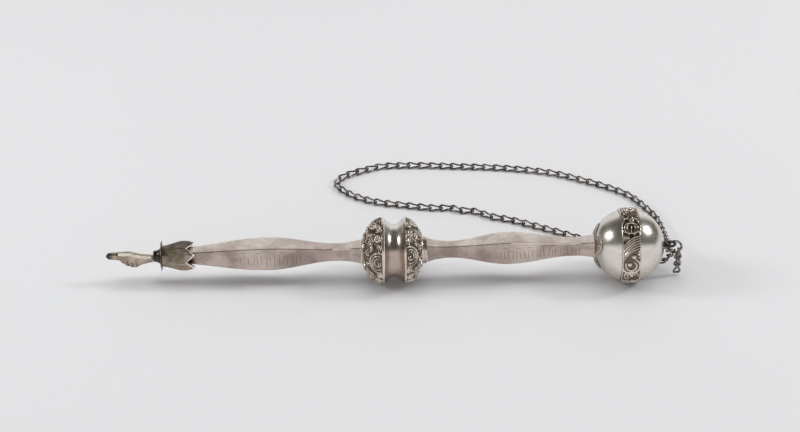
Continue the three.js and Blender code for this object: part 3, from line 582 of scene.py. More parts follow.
class Carving:
    """Raised work on a turned surface, given in millimetres. Along is the distance over the surface
    from an edge, and across goes round the axis, measured at one radius. The turn is folded, so that
    one motif stands for all its copies."""

    def __init__(self, along, turn, radius, copies, first_turn):
        self.step = TURN / copies
        self.along = along / MM
        self.turn = (turn - first_turn + self.step / 2) % self.step - self.step / 2
        self.radius = radius / MM
        self.height = np.zeros_like(along)

    def at(self, radius):
        """Sets the radius at which the next motifs are measured across."""
        self.at_radius = radius
        return self

    def dab(self, along, across, size, height):
        """One rounded spot."""
        turn = across / self.at_radius
        for copy in (turn - self.step, turn, turn + self.step):
            aside = (self.turn - copy) * self.radius
            share = 1 - ((self.along - along) ** 2 + aside**2) / size**2
            np.maximum(self.height, height * np.sqrt(np.clip(share, 0, 1)), out=self.height)

    def line(self, points, width, height, taper):
        """A rounded ridge through points of (along, across), thinning to its ends."""
        for i, (along, across) in enumerate(points):
            swell = taper + (1 - taper) * math.sin(math.pi * (i + 0.5) / len(points))
            self.dab(along, across, width / 2 * swell, height * (0.6 + 0.4 * swell))

    def curl(self, centre, radii, angles, width, height, steps=44, taper=0.55):
        """A ridge along a spiral, from one radius and angle to another. Angle 0 looks away from the
        edge, and a growing angle turns towards growing turn."""
        points = []
        for i in range(steps):
            share = i / (steps - 1)
            reach = radii[0] + (radii[1] - radii[0]) * share
            angle = math.radians(angles[0] + (angles[1] - angles[0]) * share)
            points.append((centre[0] + reach * math.cos(angle), centre[1] + reach * math.sin(angle)))
        self.line(points, width, height, taper)

    def stroke(self, start, end, width, height, bow=0.0, taper=0.3):
        """A ridge from one (along, across) place to another, bowed sideways."""
        (a0, b0), (a1, b1) = start, end
        span = math.hypot(a1 - a0, b1 - b0)
        steps = max(4, int(span / (0.22 * width)))
        points = []
        for i in range(steps + 1):
            share = i / steps
            off = bow * math.sin(math.pi * share)
            points.append((
                a0 + (a1 - a0) * share - off * (b1 - b0),
                b0 + (b1 - b0) * share + off * (a1 - a0),
            ))
        self.line(points, width, height, taper)

    def flower(self, along, across, radius, petals, height):
        """A round-petalled flower with a bead in its middle."""
        reach = 0.62 * radius
        for i in range(petals):
            angle = TURN * (i + 0.25) / petals
            spot = (along + reach * math.cos(angle), across + reach * math.sin(angle))
            self.dab(*spot, 0.42 * radius, 0.85 * height)
        self.dab(along, across, 0.3 * radius, height)

    def fan(self, along, across, reach, width, height, toward, blades=5, spread=110):
        """Short blades spreading from one place, as in a shell."""
        for i in range(blades):
            angle = math.radians(toward + spread * (i / (blades - 1) - 0.5))
            end = (along + reach * math.cos(angle), across + reach * math.sin(angle))
            self.stroke((along, across), end, width, height, taper=0.5)


# Outline of the hand over its length from the fingertip: heights of its top and bottom over the axis
# and half its thickness, in millimetres
HAND_TOP = [
    (0, 1.35), (0.8, 1.75), (1.5, 1.95), (3.7, 2.2), (5.9, 2.25), (8.0, 2.3), (9.6, 2.45), (11.2, 2.2),
    (13, 1.5), (14.8, 1.15), (17, 0.75), (19.2, 0.5), (20.6, 0.45),
]
HAND_BOTTOM = [
    (0, 0.1), (0.8, -0.45), (1.5, -0.75), (3.7, -0.95), (5.9, -1.2), (6.6, -1.9), (7.2, -2.7), (8.6, -3.7),
    (11.2, -4.6), (12.4, -4.8), (13.4, -4.8), (14.4, -4.2), (15.4, -3.6), (17, -3.1), (19.2, -2.6),
    (20.6, -2.4),
]
HAND_HALF_THICKNESS = [
    (0, 0.9), (1.5, 1.25), (4, 1.4), (6.4, 1.5), (9, 2.0), (12, 2.2), (15, 1.95), (18, 1.75), (20.6, 1.6)
]
# Way that the flat along the hand's upper front edge faces, where a highlight is painted: shares to the
# front and up
HAND_STRIP = (0.64, 0.77)
# 1 would give the hand a round section, and less makes it squarer
HAND_SQUARENESS = 0.62
# Places along the hand from the fingertip, and widths, in millimetres
TIP_END = 1.2
STRIP_START = 5.2
FOLDS_START = 6.6
FOLDS_END = 15.4
KNUCKLES = ((3.6, 0.2), (5.0, 0.22))
FINGER_WIDTH = 2.05


class HandLine:
    """A smoothed line of values over the hand's length."""

    def __init__(self, points):
        fine = np.linspace(-2, 24, 521)
        raw = np.interp(fine, [point[0] for point in points], [point[1] for point in points])
        weights = np.exp(-np.linspace(-2, 2, 17) ** 2)
        padded = np.pad(raw, 8, mode="edge")
        self.places = fine * MM
        self.values = np.convolve(padded, weights / weights.sum(), mode="valid") * MM

    def __call__(self, along):
        return np.interp(along, self.places, self.values)


class AddHand(bpy.types.Operator):
    """Adds the pointing hand"""

    bl_idname = "pointer.add_hand"
    bl_label = "Hand"

    def execute(self, context):
        sizes = context.scene.pointer_sizes
        at = Stations(sizes)
        whole = sizes.hand_length
        tops = HandLine(HAND_TOP)
        bottoms = HandLine(HAND_BOTTOM)
        sides = HandLine(HAND_HALF_THICKNESS)

        def place(u, v):
            along = whole * ease(0, 1, u)
            turn = v * TURN
            top, bottom, thick = tops(along), bottoms(along), sides(along)
            front = -np.sin(turn)
            across = thick * np.sign(front) * np.abs(front) ** HAND_SQUARENESS
            share = np.cos(turn)
            share = np.sign(share) * np.abs(share) ** HAND_SQUARENESS
            up = (top + bottom) / 2 + (top - bottom) / 2 * share
            tip = np.clip(along / (TIP_END * MM), 0, 1)
            blunt = np.sqrt(tip * (2 - tip))
            across *= blunt
            up = top - 0.9 * MM + (up - top + 0.9 * MM) * blunt

            # The flat cut from the upper front edge, which carries a painted highlight
            ridge = across * -HAND_STRIP[0] + (up - top) * HAND_STRIP[1]
            quarter = np.linspace(0, TURN / 4, 60)
            drop = (top - bottom)[..., None] / 2 * (1 - np.cos(quarter) ** HAND_SQUARENESS)
            corner = HAND_STRIP[0] * thick[..., None] * np.sin(quarter) ** HAND_SQUARENESS
            corner -= HAND_STRIP[1] * drop
            cut = np.interp(along, [0, 4 * MM, 6 * MM, whole], [0, 0.08, 0.3, 0.24]) * MM
            limit = corner.max(axis=-1) - cut
            over = np.clip(ridge - limit, 0, None) * (across < 0)
            across += over * HAND_STRIP[0]
            up -= over * HAND_STRIP[1]
            strip = ramp(over / (0.05 * MM)) * ramp((along - STRIP_START * MM) / (0.6 * MM))
            strip *= ramp((whole - along) / (1.2 * MM))

            # The folded fingers, as swells across the palm
            depth = top - up
            curled = ramp((depth - 2.6 * MM) / (1.2 * MM))
            curled *= ramp((along - FOLDS_START * MM) / (0.8 * MM))
            curled *= ramp((FOLDS_END * MM - along) / (0.8 * MM))
            folds = np.cos((along - 7.0 * MM - 0.35 * depth) / (FINGER_WIDTH * MM) * TURN)
            swell = curled * (0.1 + 0.1 * folds) * MM
            across += np.sign(across) * swell
            up -= curled * 0.09 * (folds - 0.2) * MM * ramp((depth - 4.4 * MM) / (0.8 * MM))

            # The creases of the knuckles on the pointing finger
            knuckles = sum(np.exp(-(((along / MM - spot) / wide) ** 2)) for spot, wide in KNUCKLES)
            inward = 0.07 * MM * knuckles * (up > 0.4 * MM)
            across -= np.sign(across) * inward
            up -= inward

            # The fingertip, the knuckle creases and the folds between the curled fingers are darkened
            grimy = np.clip(1 - along / (3.6 * MM), 0, 1) ** 0.5 + 0.5 * knuckles
            grimy += 0.3 * curled * (1 - folds)
            # The flat strip carries the painted highlight, in the hand's own finish and as faces of the
            # painted highlight finish
            values = {"worn_edge": strip, "grimy": np.clip(grimy, 0, 1), "rubbed": strip}
            return np.stack([along, across, up], axis=1), values

        skin = grid_sheet(150, 144, place)
        close_ends(skin)
        finish_piece(skin, "pointing_hand_cast", "warm_silver", "pointing_hand", at.pointer)
        return {"FINISHED"}


class AddFerruleAndStar(bpy.types.Operator):
    """Adds the blackened ferrule and the star plate behind the wrist"""

    bl_idname = "pointer.add_ferrule_and_star"
    bl_label = "Ferrule and Star"

    def execute(self, context):
        sizes = context.scene.pointer_sizes
        at = Stations(sizes)
        start, whole = at.ferrule, sizes.ferrule_length
        profile = [(start, 0), (start, 2.0 * MM), (start + 0.1 * MM, 2.3 * MM)]
        for i in range(33):
            share = i / 32
            flare = 2.45 + 1.0 * max(0.0, (share - 0.35) / 0.65) ** 1.3
            bead = 0.22 * math.exp(-(((share - 0.14) / 0.07) ** 2))
            bead += 0.16 * math.exp(-(((share - 0.5) / 0.05) ** 2))
            profile.append((start + (0.12 + 0.84 * share) * whole, (flare + bead) * MM))
        profile += [(start + whole, 3.3 * MM), (start + whole, 0)]
        shape = turned_shape(profile, 64)
        finish_piece(shape, "wrist_ferrule_turned", "blackened_silver", "wrist_ferrule", at.pointer)

        bm = bmesh.new()
        made = bmesh.ops.create_circle(bm, cap_ends=True, segments=2 * STAR_RAYS, radius=1)
        for vert in made["verts"]:
            angle = math.atan2(vert.co.y, vert.co.x)
            place = round(angle / (math.pi / STAR_RAYS))
            at_point = place % 2 == 0
            reach = sizes.star_radius if at_point else sizes.star_root_radius
            angle = place * math.pi / STAR_RAYS
            thin = 0.16 * MM if at_point else 0
            vert.co = Vector((at.star + thin, -reach * math.sin(angle), reach * math.cos(angle)))
        body = bmesh.ops.extrude_face_region(bm, geom=bm.faces[:])
        moved = [item for item in body["geom"] if isinstance(item, bmesh.types.BMVert)]
        for vert in moved:
            vert.co.x = 2 * at.star + sizes.star_thickness - vert.co.x
        bmesh.ops.recalc_face_normals(bm, faces=bm.faces)
        bmesh.ops.bevel(
            bm, geom=bm.edges[:], offset=0.1 * MM, affect="EDGES", segments=2, profile=0.5, material=-1
        )
        finish_piece(bm, "star_collar_cut", "silver", "star_collar", at.pointer, sharp=50)
        return {"FINISHED"}


class AddCup(bpy.types.Operator):
    """Adds the cup of six leaves"""

    bl_idname = "pointer.add_cup"
    bl_label = "Leaf Cup"

    def execute(self, context):
        sizes = context.scene.pointer_sizes
        at = Stations(sizes)

        def place(u, v):
            turn = v * TURN
            outside = u < 0.5
            share = np.where(outside, 2 * u, 2 - 2 * u)
            leaf = np.abs(np.cos(turn * CUP_LEAVES / 2))
            step = TURN / CUP_LEAVES
            from_tip = np.abs((turn + step / 2) % step - step / 2) / (step / 2)
            reach = sizes.cup_length - sizes.cup_notch * from_tip**1.15
            base = np.where(outside, 0, sizes.cup_floor)
            along = base + share * (reach - base)
            swell = ease(sizes.cup_front_radius, sizes.cup_shoulder_radius, share / 0.84)
            curl = ease(sizes.cup_shoulder_radius, sizes.cup_tip_radius, (share - 0.84) / 0.32)
            radius = np.where(share < 0.84, swell, curl)
            radius += 0.16 * MM * (leaf - 0.5) * np.minimum(1, 0.3 + share)
            crease = np.exp(-((leaf / 0.1) ** 2))
            radius -= 0.05 * MM * crease * ramp(share * 2.2)
            flutes = np.cos(turn * CUP_FLUTES + 2 * np.sin(turn * 5))
            rib = np.exp(-(((1 - leaf) / 0.012) ** 2)) * 0.08 * MM
            radius += np.where(outside, flutes * 0.06 * MM * ramp(share * 3) + rib, 0)
            tip = np.clip((share - 0.93) / 0.07, 0, 1)
            wall = sizes.cup_wall * (1 - 0.75 * tip)
            radius -= np.where(outside, 0, wall)
            points = round_axis(at.cup + along, radius, turn)
            relief = 1 - 0.55 * crease - np.where(outside, 0, 0.95 * (1 - tip))
            relief -= 0.175 * (1 - flutes) * outside
            # The leaf tips carry a painted highlight
            return points, {"relief": np.clip(relief, 0, 1), "worn_edge": ramp((share - 0.925) / 0.03)}

        bm = grid_sheet(96, 432, place)
        close_ends(bm)
        finish_piece(bm, "leaf_cup_raised", "tarnished_silver", "leaf_cup", at.pointer, sharp=60)
        return {"FINISHED"}


def front_shaft_side(sizes, along):
    """Side of the front shaft's square: slim in the cup, full at its belly, waisted by the knop."""
    belly_at, waist_at = sizes.front_belly_at, sizes.front_waist_at
    first = ease(sizes.front_start, sizes.front_belly, along / belly_at)
    second = ease(sizes.front_belly, sizes.front_waist, (along - belly_at) / (waist_at - belly_at))
    share = np.clip((along - waist_at) / (sizes.front_shaft_length - waist_at), 0, 1)
    last = sizes.front_waist + (sizes.front_end - sizes.front_waist) * share**2
    return np.where(along < belly_at, first, np.where(along < waist_at, second, last))


def rear_shaft_side(sizes, along):
    """Side of the rear shaft's square, with a waist near each end."""
    front_at, belly_at, rear_at = sizes.first_waist_at, sizes.rear_belly_at, sizes.last_waist_at
    share = np.clip(1 - along / front_at, 0, 1)
    first = sizes.first_waist + (sizes.rear_start - sizes.first_waist) * share**2
    second = ease(sizes.first_waist, sizes.rear_belly, (along - front_at) / (belly_at - front_at))
    third = ease(sizes.rear_belly, sizes.last_waist, (along - belly_at) / (rear_at - belly_at))
    share = np.clip((along - rear_at) / (sizes.rear_shaft_length - rear_at), 0, 1)
    last = sizes.last_waist + (sizes.shaft_end - sizes.last_waist) * share**2
    front_half = np.where(along < front_at, first, second)
    return np.where(along < belly_at, front_half, np.where(along < rear_at, third, last))


def square_outline(face_rows, other_rows, corner_rows):
    """Round a square from the rear bottom edge: for each place, a point of the square's boundary from
    -1 to 1 and the way out there, with more places on the engraved front face."""
    faces = (((1, 0), other_rows), ((0, 1), other_rows), ((-1, 0), face_rows), ((0, -1), other_rows))
    places = []
    for (out_across, out_up), rows in faces:
        run = (-out_up, out_across)
        for i in range(rows):
            share = 2 * i / rows - 1
            places.append((out_across + run[0] * share, out_up + run[1] * share, out_across, out_up))
        for i in range(corner_rows):
            angle = (i / corner_rows) * math.pi / 2
            places.append((
                out_across + run[0],
                out_up + run[1],
                out_across * math.cos(angle) + run[0] * math.sin(angle),
                out_up * math.cos(angle) + run[1] * math.sin(angle),
            ))
    places.append(places[0])
    return np.array(places)


# Rows of strokes: start and end along the shaft, groups, height and seed
FRONT_ROW = (32.6 * MM, 60.8 * MM, 5, 7.0 * MM, 3)
REAR_ROW = (31.6 * MM, 68.2 * MM, 7, 5.6 * MM, 8)
# Stretches of the upper front edges where a highlight is painted
FRONT_HIGHLIGHT = (71 * MM, 84 * MM)
REAR_HIGHLIGHT = (34 * MM, 70 * MM)


def engraved_strokes(start, end, groups, height, seed):
    """Rows of plain strokes in loose groups of uprights and short dashes, as (from, to) pairs."""
    rng = random.Random(seed)
    pitch = (end - start) / groups
    strokes = []
    for i in range(groups):
        left = start + (i + 0.14) * pitch
        for k in range(3):
            middle = left + 0.3 * k * pitch
            tall = rng.uniform(0.5, 0.74) * height
            base = rng.uniform(-0.5, -0.36) * height
            lean = rng.uniform(-0.06, 0.06) * height
            strokes.append(((middle, base), (middle + lean, base + tall)))
        dash = left + rng.uniform(0, 0.35) * pitch
        strokes.append(((dash, 0.47 * height), (dash + 0.28 * pitch, 0.49 * height)))
    return strokes


def add_shaft(node, start, whole, side_at, row, rubbed, matrix):
    """A four-sided baluster with worn edges, painted shade on its front and lower faces, a painted
    highlight over a stretch of its upper front edge, and a row of strokes cut in its front face."""
    sizes, carving = bpy.context.scene.pointer_sizes, bpy.context.scene.pointer_carving
    strokes = engraved_strokes(*row)
    highlight_from, highlight_to = rubbed
    outline = square_outline(64, 6, 5)
    rows = len(outline) - 1
    columns = 520

    def place(u, v):
        along = u * whole
        index = np.clip(np.rint(v * rows).astype(int), 0, rows)
        spots = outline[index]
        half = side_at(sizes, along) / 2
        core = half - sizes.arris
        across = core * spots[:, 0] + sizes.arris * spots[:, 2]
        up = core * spots[:, 1] + sizes.arris * spots[:, 3]
        front = spots[:, 2] < -0.999
        cut = np.zeros_like(along)
        for (a0, b0), (a1, b1) in strokes:
            run = np.array([a1 - a0, b1 - b0])
            share = np.clip(((along - a0) * run[0] + (up - b0) * run[1]) / (run @ run), 0, 1)
            gap = np.hypot(along - a0 - share * run[0], up - b0 - share * run[1])
            depth = np.clip(1 - (gap / (carving.stroke_width / 2)) ** 2, 0, 1)
            np.maximum(cut, depth * front, out=cut)
        across += cut * carving.stroke_depth
        corner = np.abs(spots[:, 2] * spots[:, 3]) * 2
        # Painted shade on the front and lower faces
        shade = np.clip(-spots[:, 2], 0, 1) + np.clip(-spots[:, 3], 0, 1)
        points = np.stack([start + along, across, up], axis=1)
        upper_front = (corner > 0.02) & (spots[:, 2] < 0) & (spots[:, 3] > 0)
        # A painted highlight along a stretch of the upper front edge; the painted shade is lighter there
        # and at the belly
        bright = ramp((along - highlight_from) / (6 * MM)) * ramp((highlight_to - along) / (6 * MM))
        belly = ramp((half / half.max() - 0.72) / 0.25)
        shade = np.clip(shade, 0, 1) * (1 - 0.4 * bright) * (1.08 - 0.5 * belly)
        values = {"relief": 1 - cut, "dull_face": shade}
        values["rubbed"] = bright * upper_front
        return points, values

    bm = grid_sheet(columns, rows, place)
    close_ends(bm)
    finish_piece(bm, node + "_engraved", "silver", node, matrix, sharp=55)


class AddShafts(bpy.types.Operator):
    """Adds both four-sided shafts with their engraved strokes"""

    bl_idname = "pointer.add_shafts"
    bl_label = "Shafts"

    def execute(self, context):
        sizes = context.scene.pointer_sizes
        at = Stations(sizes)
        add_shaft(
            "front_shaft", at.front_shaft, sizes.front_shaft_length, front_shaft_side,
            FRONT_ROW, FRONT_HIGHLIGHT, at.pointer,
        )
        add_shaft(
            "rear_shaft", at.rear_shaft, sizes.rear_shaft_length, rear_shaft_side,
            REAR_ROW, REAR_HIGHLIGHT, at.pointer,
        )
        return {"FINISHED"}


class Dome:
    """The line of one dome from its rim to the end of its collar: places from the rim, radii, lengths
    over the surface and the lean of the surface."""

    def __init__(self, sizes, span, fullness):
        neck = sizes.knop_collar_radius
        share = neck / sizes.knop_radius
        collar = span * (1 - share**fullness) ** (1 / fullness)
        over = np.sin(np.linspace(0, 0.5 * np.pi, 200)) * collar
        radius = sizes.knop_radius * (1 - (over / span) ** fullness) ** (1 / fullness)
        tail = np.linspace(0, 1, 24)[1:]
        self.over = np.concatenate([over, collar + tail * (sizes.dome_length - collar)])
        self.radius = np.concatenate([radius, radius[-1] - 0.07 * neck * tail])
        self.run = np.concatenate([[0], np.cumsum(np.hypot(np.diff(self.over), np.diff(self.radius)))])
        self.lean = np.arctan2(-np.gradient(self.radius), np.gradient(self.over))
        self.collar_run = self.run[199]
        self.whole = self.run[-1]


def carve_dome(work, collar):
    """Nested scrolls open to the rim, flowers and leaves between them, and a frill by the collar."""
    work.at(13.2)
    for radii, angles, width, height, steps, taper in (
        ((4.15, 4.35), (-112, 104), 0.95, 1, 70, 0.8),
        ((3.0, 3.1), (-106, 112), 0.8, 0.92, 54, 0.8),
        ((2.0, 1.15), (-98, 205), 0.8, 0.9, 44, 0.55),
    ):
        work.curl((2.95, 0), radii, angles, width, height, steps, taper)
    work.dab(2.75, 0.1, 0.6, 0.85)
    work.stroke((1.75, 4.3), (0.95, 6.3), 0.95, 0.9, bow=-0.2)
    work.stroke((3.2, 4.6), (1.9, 6.9), 0.8, 0.85, bow=-0.2)
    work.stroke((1.4, -4.2), (2.4, -5.6), 0.9, 0.9, bow=0.25)
    half = work.step * work.at_radius / 2
    work.flower(2.9, half, 1.9, 6, 1)
    work.fan(1.3, half - 3.1, 2.4, 0.62, 0.85, -60)
    work.fan(1.4, half + 3.0, 2.3, 0.62, 0.85, 55)
    for i in range(5):
        work.dab(4.4 + 0.95 * i, half - 2.35 - 0.35 * i, 0.42, 0.8)
    work.at(12).flower(6.4, half - 0.9, 1.7, 5, 0.95)
    work.at(12.4).fan(5.4, half + 3.2, 2.6, 0.6, 0.8, -20, blades=6, spread=130)
    work.at(12.2).fan(5.6, half - 4.0, 2.2, 0.58, 0.8, 30)
    for side in (-1, 1):
        ends = (side * -150, side * 160)
        work.at(10.6).curl((8.6, half + side * 3.0), (1.9, 0.6), ends, 0.62, 0.85, steps=36)
        for i in range(4):
            across = side * (1.2 + 1.5 * i)
            work.at(10.8).stroke((7.7 + 0.1 * i, across), (9.9, across * 0.8), 0.62, 0.8, bow=0.12)
    frill = np.clip(np.cos(work.turn * 40), 0, 1) ** 0.7
    window = ramp((work.along - collar + 2.7) / 0.4) * ramp((collar - 0.5 - work.along) / 0.4)
    np.maximum(work.height, 0.6 * frill * window, out=work.height)


class AddKnop(bpy.types.Operator):
    """Adds the two chased domes of the knop and the polished groove between them"""

    bl_idname = "pointer.add_knop"
    bl_label = "Knop"

    def execute(self, context):
        sizes, carving = context.scene.pointer_sizes, context.scene.pointer_carving
        at = Stations(sizes)
        front = Dome(sizes, sizes.front_dome_span, sizes.front_dome_fullness)
        rear = Dome(sizes, sizes.rear_dome_span, sizes.rear_dome_fullness)
        parts = (
            ("knop_front_dome", front, at.front_rim, -1, carving.front_scroll_turn),
            ("knop_rear_dome", rear, at.rear_rim, 1, carving.rear_scroll_turn),
        )
        for node, dome, rim, side, first_turn in parts:
            def place(u, v):
                length_over = u * dome.whole
                turn = v * TURN
                from_rim = np.interp(length_over, dome.run, dome.over)
                radius = np.interp(length_over, dome.run, dome.radius)
                lean = np.interp(length_over, dome.run, dome.lean)
                work = Carving(length_over, turn, radius, DOME_MOTIFS, first_turn)
                carve_dome(work, dome.collar_run / MM)
                field = ramp((length_over - sizes.rim_width) / (0.25 * MM))
                field *= ramp((dome.collar_run - 0.1 * MM - length_over) / (0.5 * MM))
                stipple = np.sin(turn * 89 + length_over * 5200) * np.sin(length_over * 6100)
                height = np.maximum(work.height, 0.16 * np.abs(stipple))
                lift = field * (height * carving.dome_relief - carving.field_depth)
                points = round_axis(
                    rim + side * (from_rim + lift * np.sin(lean)), radius + lift * np.cos(lean), turn
                )
                relief = np.clip(1 - field * (1 - height), 0, 1)
                relief *= 1 - 0.5 * ramp((length_over - dome.collar_run) / (0.4 * MM))
                return points, {"relief": relief}

            bm = grid_sheet(150, 560, place)
            close_ends(bm)
            finish_piece(
                bm, node + "_chased", "chased_silver", node, at.pointer, on_floor=True, sharp=75
            )

        profile = [(at.groove, 0)]
        for i in range(61):
            share = 2 * i / 60 - 1
            dip = sizes.groove_depth * (1 - share**2)
            profile.append((at.groove + sizes.groove_width * i / 60, sizes.knop_radius - 0.35 * MM - dip))
        profile.append((at.groove + sizes.groove_width, 0))
        shape = turned_shape(profile, 160)
        # A pinkish reflection painted on the groove's front and lower side
        painted_reflection_share = shape.verts.layers.float.new("dull_face")
        for vert in shape.verts:
            outward = Vector((0, -vert.co.y, -vert.co.z + 0.25 * sizes.knop_radius))
            outward.normalize()
            vert[painted_reflection_share] = max(0.0, outward.dot(Vector((0, 0.9, 0.42))))
        finish_piece(shape, "knop_groove_polished", "polished_silver", "knop_groove", at.pointer)
        return {"FINISHED"}


# Radius at which the band's motifs are measured, in millimetres
BAND_CARVED_AT = 16


def carve_band(work):
    """A roundel between leaves, a slanting ribbon, buds and two scrolls, once in each third."""
    work.at(BAND_CARVED_AT)
    for i in range(48):
        angle = TURN * i / 48
        work.dab(3.0 * math.cos(angle), 2.5 * math.sin(angle), 0.42, 1)
    work.stroke((-1.3, -1.3), (-1.1, 1.4), 0.7, 1, bow=0.25)
    work.stroke((1.4, -1.3), (1.2, 1.4), 0.7, 1, bow=-0.25)
    work.stroke((0.1, -1.5), (0.1, 1.0), 0.6, 1)
    work.dab(0, 1.6, 0.4, 0.9)
    work.dab(0.5, -4.0, 1.1, 1)
    for side in (-1, 1):
        work.stroke((side * 3.3, -2.2), (side * 1.6, -5.4), 0.8, 0.95, bow=0.2 * side)
        work.stroke((side * 3.2, -4.6), (side * 0.5, -6.4), 0.7, 0.9, bow=-0.2 * side)
        work.stroke((side * 3.3, 1.9), (side * 1.1, 3.7), 0.7, 0.9, bow=0.25 * side)
        work.dab(side * 3.0, -3.5, 0.5, 0.9)
        work.dab(side * 3.1, -6.3, 0.5, 0.9)
    work.fan(-3.0, 3.2, 2.6, 0.6, 0.9, 72, blades=4, spread=62)
    for i in range(6):
        start, end = (3.5, 3.7 + 1.05 * i), (-3.5, 8.0 + 1.2 * i)
        work.stroke(start, end, 0.95, 1 - 0.2 * (i % 2), bow=0.09, taper=0.6)
    for along, across, size in ((0.9, 12.9, 1.1), (-0.9, 16.6, 1.1), (0.2, 23.2, 0.9)):
        work.dab(along, across, size, 1)
    for size, width in ((1, 1.2), (0.6, 1.0)):
        reach = (3.5 * size, 4.3 * size)
        work.curl((-0.1, 17.2), reach, (-60, 215), width, 1, steps=70, taper=0.75)
        reach = (3.4 * size, 2.6 * size)
        work.curl((0.3, 23.2), reach, (120, 360), 0.85 * width, 1, steps=60)
    for i in range(3):
        work.stroke((3.5, 9.6 + 1.3 * i), (2.3, 11.2 + 1.2 * i), 0.65, 0.85, bow=-0.2)


def add_globe(sizes, at):
    """The ball, with a channel for its band."""
    channel = sizes.band_radius - sizes.band_thickness - sizes.seat_gap
    half_channel = sizes.band_width / 2 + sizes.seat_gap
    globe = sizes.ball_radius
    seat = math.asin(at.seat_radius / globe)
    edge = math.acos(half_channel / globe)
    foot = math.asin(sizes.eye_foot_radius / globe)
    profile = [(at.ball_seat, 0)]
    for first, last in ((seat, edge), (math.pi - edge, math.pi - foot)):
        for i in range(41):
            angle = first + (last - first) * i / 40
            profile.append((at.ball - globe * math.cos(angle), globe * math.sin(angle)))
        if first == seat:
            profile.append((at.ball - half_channel, channel))
            profile.append((at.ball + half_channel, channel))
    profile.append((at.ball_rear, 0))
    finish_piece(turned_shape(profile, 160), "ball_polished", "polished_silver", "ball", at.pointer)


def add_band(sizes, carving, at):
    """The band, carved on its outer side and plain inside."""
    half = sizes.band_width / 2
    inner = sizes.band_radius - sizes.band_thickness
    # Share of the sheet that makes the carved side
    outer_share = 0.86

    def place_band(u, v):
        turn = v * TURN
        across = np.clip(u / outer_share, 0, 1) * 2 * half - half
        under = np.clip((u - outer_share) / (1 - outer_share), 0, 1)
        level = np.full_like(turn, BAND_CARVED_AT * MM)
        work = Carving(across, turn, level, BAND_MOTIFS, carving.band_turn)
        carve_band(work)
        from_edge = half - np.abs(across)
        field = ramp((from_edge - sizes.band_edge_width) / (0.2 * MM))
        stipple = 0.14 * np.abs(np.sin(turn * 131) * np.sin(across * 7000))
        height = np.maximum(work.height, stipple)
        lift = field * (height * carving.band_relief - carving.field_depth)
        lift -= 0.22 * MM * (1 - ramp(from_edge / (0.3 * MM)))
        lift -= 0.12 * MM * np.exp(-(((from_edge - 0.62 * MM) / (0.1 * MM)) ** 2))
        radius = np.where(under > 0, inner, sizes.band_radius - 0.05 * MM + lift)
        along = np.where(under > 0, half - 2 * half * under, across)
        relief = np.clip(1 - field * (1 - height), 0, 1) * (under <= 0)
        return round_axis(at.ball + along, radius, turn), {"relief": relief}

    bm = grid_sheet(70, 640, place_band)
    close_ring(bm)
    finish_piece(
        bm, "ball_band_chased", "chased_silver", "ball_band", at.pointer, on_floor=True, sharp=75
    )


def add_calyx(sizes, at):
    """The thin leaves that lie on the ball round the shaft's end."""
    globe = sizes.ball_radius
    root = at.seat_radius + sizes.seat_gap

    def place_calyx(u, v):
        turn = v * TURN
        from_leaf = turn - math.pi / 3
        leaf = np.abs(np.cos(from_leaf * CALYX_LEAVES / 2)) ** 1.5
        outside = u < 0.5
        share = np.where(outside, 2 * u, 2 - 2 * u)
        lobes = 0.5 - 0.5 * np.cos(from_leaf * 36)
        out = 0.15 + 0.85 * leaf * (0.94 + 0.06 * lobes)
        reach = root + (sizes.calyx_radius - root) * share * out
        step = TURN / CALYX_LEAVES
        middle = np.abs((from_leaf + step / 2) % step - step / 2)
        vein = np.exp(-((middle / 0.05) ** 2))
        ribs = 0.5 + 0.5 * np.cos((share * 5 - middle * 9) * TURN)
        high = (0.24 * (1 - 0.85 * share**3) * (0.5 + 0.5 * ribs) + 0.1 * vein) * MM
        high = np.where(outside, high, 0)
        polar = np.arcsin(reach / globe)
        shell = globe + sizes.seat_gap + high
        points = round_axis(at.ball - shell * np.cos(polar), shell * np.sin(polar), turn)
        relief = np.where(outside, np.maximum(ribs, vein), 0)
        # Painted highlight on the ribs, growing towards the leaf tips; the underside takes part of it
        pale = np.where(outside, 0.35 + 0.5 * ribs * share, 0.6)
        return points, {"relief": np.maximum(relief, 0.35), "worn_edge": pale}

    bm = grid_sheet(64, 360, place_calyx)
    close_ring(bm)
    finish_piece(bm, "ball_calyx_leaves", "tarnished_silver", "ball_calyx", at.pointer, sharp=60)


class AddBall(bpy.types.Operator):
    """Adds the polished ball, its chased band and the leaves round the shaft"""

    bl_idname = "pointer.add_ball"
    bl_label = "Ball"

    def execute(self, context):
        sizes, carving = context.scene.pointer_sizes, context.scene.pointer_carving
        at = Stations(sizes)
        add_globe(sizes, at)
        add_band(sizes, carving, at)
        add_calyx(sizes, at)
        return {"FINISHED"}


